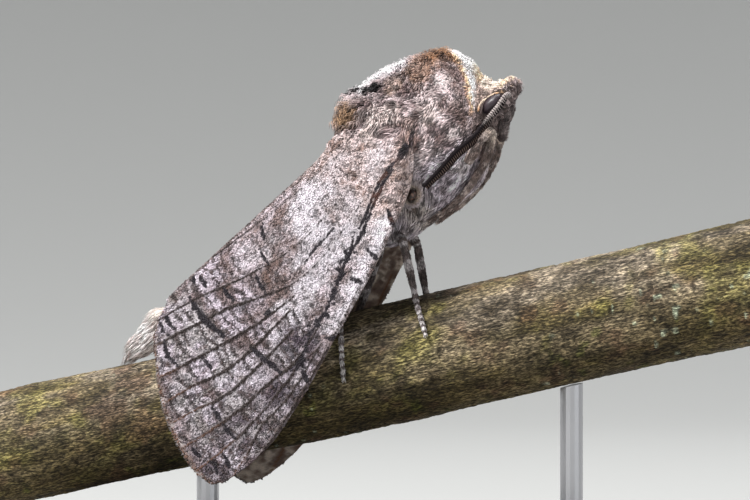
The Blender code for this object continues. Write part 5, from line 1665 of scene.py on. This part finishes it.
def build_palp(side_name, side, chooser):
    """A short scaly palp under the face."""
    line = on_side(PALP_LINE, side)
    path = smooth_rows([lifted(line[0], 0.0)] + [lifted(p, 0.12) for p in line], 40)
    share = np.linspace(0, 1, 40)
    radius = PALP_RADIUS * (0.40 + 0.25 * np.sin(share * math.pi)) * (1.0 - 0.45 * ease(0.75, 1.0, share))
    grid, ahead = tube_grid(path, radius, 16)
    def shades(part, places):
        return mix((76, 64, 64), (160, 146, 144), ease(0.35, 0.65, layered(places, 0.6, 181)))
    build_tube("palp_form_" + side_name, grid, shades, SKIN, ("palp_" + side_name,))
    tube_coat("palp_coat_" + side_name, grid, ahead, 1100, (0.45, 0.9), 0.12, shades, chooser, 0.45)


def leg_colours(share, places):
    """Dark grey-brown scales with whitish bands, and whiter rings on the foot."""
    band = ease(0.50, 0.75, np.sin(share * 60.0) * 0.5 + 0.5 + (layered(places, 0.5, 191) - 0.5) * 0.9)
    colour = mix((104, 92, 90), (206, 198, 200), band * 0.8)
    colour = mix(colour, (60, 50, 46), ease(0.5, 0.75, layered(places, 0.7, 193)) * 0.6)
    rings = ease(0.30, 0.55, np.sin(share * 78.0) * 0.5 + 0.5)
    return mix(colour, mix((92, 80, 78), (244, 238, 238), rings), ease(0.52, 0.72, share) * 0.8)


def exit_from_body(inside, outside, lift):
    """Where the line from an inner point to an outer one leaves the body."""
    inner, outer = Vector(inside), Vector(outside)
    toward = (inner - outer).normalized()
    place = BODY_TREE.ray_cast(outer, toward)[0]
    return np.array(place - toward * lift)


def foot_line(foot, side, lift):
    """Points of a foot laid on the branch, in world millimetres."""
    (start, start_angle), (end, end_angle) = foot
    share = np.linspace(0.0, 1.0, 4)
    angle = np.radians(start_angle + (end_angle - start_angle) * share)
    turn = angle if side > 0 else math.pi - angle
    return branch_points(start + (end - start) * share, turn, lift)


def folded_leg_colours(share, places):
    """Grey-brown hair-scales like those of the breast, with darker lines."""
    colour = mix((188, 172, 166), (132, 114, 108), ease(0.4, 0.6, layered(places, 0.9, 195)))
    knee = ease(0.10, 0.02, np.abs(share - 0.27))
    colour = mix(colour, (232, 214, 200), knee * 0.6)
    return mix(colour, (74, 60, 54), ease(0.54, 0.66, layered(places, 0.6, 197)) * 0.65)


def build_leg(name, path, radii, side_name, chooser, spurs=(), colour_of=leg_colours, lengths=(0.25, 0.6),
              count=2200):
    """One leg: its jointed form, its scales, its spurs and its claws."""
    grid, ahead = tube_grid(path, radii, 16)
    node = name + "_" + side_name
    # The leg's skin under its coat is darkened, as painted shade deep between the tufts
    def skin_with_painted_shade(share, places):
        return colour_of(share, places) * 0.7
    build_tube(node + "_form", grid, skin_with_painted_shade, SKIN, (node,))
    tube_coat(node + "_coat", grid, ahead, count, lengths, 0.13, colour_of, chooser, 0.28)
    side = np.cross(ahead[-1], (0.0, 0.0, 1.0))
    side = side / np.linalg.norm(side)
    rows = [(path[-1] + side * sign * 0.08, ahead[-1] + side * sign * 0.7, 0.45) for sign in (1.0, -1.0)]
    for share, sign in spurs:
        row = int(share * (len(path) - 1))
        rows.append((path[row], ahead[row] + side * sign * 0.55, 1.15))
    roots, lies, lengths = (np.array(column) for column in zip(*rows))
    lies = unit(lies)
    up = np.tile(np.array((0.0, 0.0, -1.0)), (len(roots), 1)) + 0.01
    up = unit(up - lies * np.sum(up * lies, axis=1, keepdims=True))
    make_tufts(node + "_claws", roots, up, lies, lengths, 0.2, np.tile(rgb(70, 52, 40), (len(roots), 1)),
               np.full((len(roots), 2), 0.5), HORN, 0.1, sink=0.0)


def standing_leg(hip, knee, ankle, start, end, side):
    """The path and the radii of a leg that stands on the branch."""
    knee, ankle = to_moth(on_side((knee, ankle), side) * MM)
    foot = to_moth(foot_line((start, end), side, FOOT_RADIUS + GAP + 0.05) * MM)
    knots = [exit_from_body(on_side(hip, side), knee, GAP + 0.25), knee, ankle, *foot]
    pieces, radii = [], []
    for k in range(len(knots) - 1):
        u = np.linspace(0, 1, 18, endpoint=(k == len(knots) - 2))
        pieces.append(knots[k] + (knots[k + 1] - knots[k]) * u[:, None])
        waist = 1.0 - 0.16 * np.abs(np.cos(u * math.pi)) ** 3
        radii.append((LEG_KNOT_RADII[k] + (LEG_KNOT_RADII[k + 1] - LEG_KNOT_RADII[k]) * u) * waist)
    path = np.concatenate(pieces)
    for _ in range(3):
        path[1:-1] = (path[:-2] + 2 * path[1:-1] + path[2:]) / 4
    return path, np.concatenate(radii)


def folded_leg(side):
    """The path and the radii of the front leg that lies folded in the coat of the breast."""
    lift, toe_lift = 0.58, 0.22
    folded = [from_side(x, z, side, lift) for x, z in FOLDED_THIGH]
    folded += [lifted((x, side * y, z), low) for (x, y, z), low in zip(FOLDED_SHIN, (0.50, 0.36, toe_lift))]
    smooth = [held_clear(row, lift + (toe_lift - lift) * k / 11 + 0.40 * math.exp(-((k - 3.0) / 1.2) ** 2))
              for k, row in enumerate(smooth_rows(folded, 12))]
    smooth[0] = lifted(folded[0], GAP + 0.2)
    share = np.linspace(0, 1, 110)
    radii = 0.52 + (0.20 - 0.52) * share + 0.14 * np.exp(-((share - 0.27) / 0.05) ** 2)
    return smooth_rows(smooth, 110), radii * (1.0 - 0.10 * np.abs(np.cos(share * 6 * math.pi)) ** 6)


def build_legs(side_name, side, chooser):
    """Two standing legs and the folded front leg of one side."""
    for name, knots in STANDING_LEGS.items():
        path, radii = standing_leg(*knots, side)
        build_leg(name, path, radii, side_name, chooser, SPURS[name])
    path, radii = folded_leg(side)
    build_leg("leg_fore", path, radii, side_name, chooser, (), folded_leg_colours, (0.35, 0.8), 3600)


# Stand, floor, light and camera

def finish_stand():
    """Satin acrylic for the base and brushed steel for the rods, on the nodes themselves."""
    base, tree, shader = new_material("satin_black_acrylic", 0.42, rgb(34, 34, 37))
    add_bump(tree, shader, noise_node(tree, 1 / (0.5 * MM), 4.0).outputs["Fac"], 0.06, 0.05 * MM)
    haze = noise_node(tree, 1 / (9.0 * MM), 3.0)
    tones = {"A": (*rgb(30, 30, 33), 1.0), "B": (*rgb(42, 42, 46), 1.0)}
    tone = add_node(tree, "Mix", tones, {"Factor": haze.outputs["Fac"]}, data_type="RGBA")
    tree.links.new(tone.outputs["Result"], shader.inputs["Base Color"])

    steel, tree, shader = new_material("brushed_steel", 0.3, rgb(196, 196, 200))
    shader.inputs["Metallic"].default_value = 1.0
    place = add_node(tree, "TexCoord").outputs["Object"]
    squash = add_node(tree, "Mapping", {"Scale": (1.0, 1.0, 14.0)}, {"Vector": place})
    lines = noise_node(tree, 1 / (0.9 * MM), 4.0, squash.outputs["Vector"])
    add_bump(tree, shader, lines.outputs["Fac"], 0.12, 0.03 * MM)
    for name, material in (("stand_base", base), ("stand_rod_a", steel), ("stand_rod_b", steel)):
        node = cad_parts[name]
        node.data.materials.clear()
        node.data.materials.append(material)


def build_floor():
    """A pale floor that sweeps up into a wall all round."""
    flat, sweep, steps, sides = 0.5, 1.4, 40, 96
    angles = np.arange(steps + 1) / steps * math.pi / 2
    radii = np.append(flat + sweep * np.sin(angles), flat + sweep)
    heights = np.append(sweep - sweep * np.cos(angles), 1.9)
    turn = np.linspace(0, 2 * math.pi, sides, endpoint=False)
    rings = np.stack([radii[:, None] * np.cos(turn), radii[:, None] * np.sin(turn),
                      heights[:, None] + 0.0 * turn], axis=2)
    points = np.concatenate([rings.reshape(-1, 3), np.zeros((1, 3))])
    ring = np.arange(sides)
    tris = np.column_stack([(ring + 1) % sides, ring, np.full(sides, len(points) - 1)])
    faces = [tuple(face) for face in grid_faces(len(rings), sides, True)] + [tuple(face) for face in tris]
    mesh = bpy.data.meshes.new("floor")
    mesh.from_pydata([tuple(p) for p in points], [], faces)
    mesh.shade_smooth()
    floor = bpy.data.objects.new("floor", mesh)
    bpy.context.scene.collection.objects.link(floor)
    material, tree, shader = new_material("pale_paper", 0.9, rgb(178, 179, 178))
    shader.inputs["Specular IOR Level"].default_value = 0.1
    add_bump(tree, shader, noise_node(tree, 900.0, 3.0).outputs["Fac"], 0.05, 0.0005)
    mesh.materials.append(material)


def add_light(name, place, size, power, colour=(1.0, 1.0, 1.0)):
    """A soft square light aimed at the model."""
    light = bpy.data.lights.new(name, "AREA")
    light.size = size
    light.energy = power
    light.color = colour
    thing = bpy.data.objects.new(name, light)
    thing.location = place
    toward = Vector((0.0, 0.0, 0.04)) - Vector(place)
    thing.rotation_euler = toward.to_track_quat("-Z", "Y").to_euler()
    bpy.context.scene.collection.objects.link(thing)


def build_light():
    """Soft light from above and the front left, a weak fill, and an even world."""
    add_light("key", (-0.42, -0.50, 0.78), 0.32, 15.0, (1.0, 0.985, 0.965))
    add_light("fill", (0.75, -0.6, 0.20), 0.6, 1.6, (0.95, 0.98, 1.0))
    add_light("top", (0.05, 0.30, 0.9), 0.5, 6.0)
    world = bpy.data.worlds.new("studio")
    world.use_nodes = True
    ground = world.node_tree.nodes["Background"]
    ground.inputs["Color"].default_value = (0.95, 0.97, 1.0, 1.0)
    ground.inputs["Strength"].default_value = 0.38
    bpy.context.scene.world = world
    bpy.context.scene.view_settings.view_transform = "Standard"


def build_camera():
    """The photo's view: level, from the moth's right and a little from behind its middle."""
    data = bpy.data.cameras.new("camera")
    data.sensor_width = SENSOR
    data.lens = SENSOR * CAMERA_DISTANCE / VIEW_WIDTH
    data.clip_start = 0.01
    data.clip_end = 20.0
    camera = bpy.data.objects.new("camera", data)
    back = Vector((math.sin(CAMERA_SIDE) * math.cos(CAMERA_HEIGHT),
                   -math.cos(CAMERA_SIDE) * math.cos(CAMERA_HEIGHT), math.sin(CAMERA_HEIGHT)))
    camera.location = LOOK_AT + back * CAMERA_DISTANCE
    camera.rotation_euler = back.to_track_quat("Z", "Y").to_euler()
    bpy.context.scene.collection.objects.link(camera)
    bpy.context.scene.camera = camera


def main():
    """Build every piece."""
    chooser = np.random.default_rng(5)
    build_camera()
    build_light()
    build_floor()
    finish_stand()
    build_branch()
    trees, outers = [], []
    for side_name, side in SIDES.items():
        outer = build_wing(side_name, side, chooser)
        outers.append(outer)
        trees.append(tree_of(outer.reshape(-1, 3), grid_faces(WING_ROWS, WING_COLUMNS)))
        build_hindwing(side_name, side)
        build_eye(side_name, side)
        for build in (build_eye_rim, build_boss, build_antenna, build_palp, build_legs):
            build(side_name, side, chooser)
    build_body(trees, outers, chooser)


main()
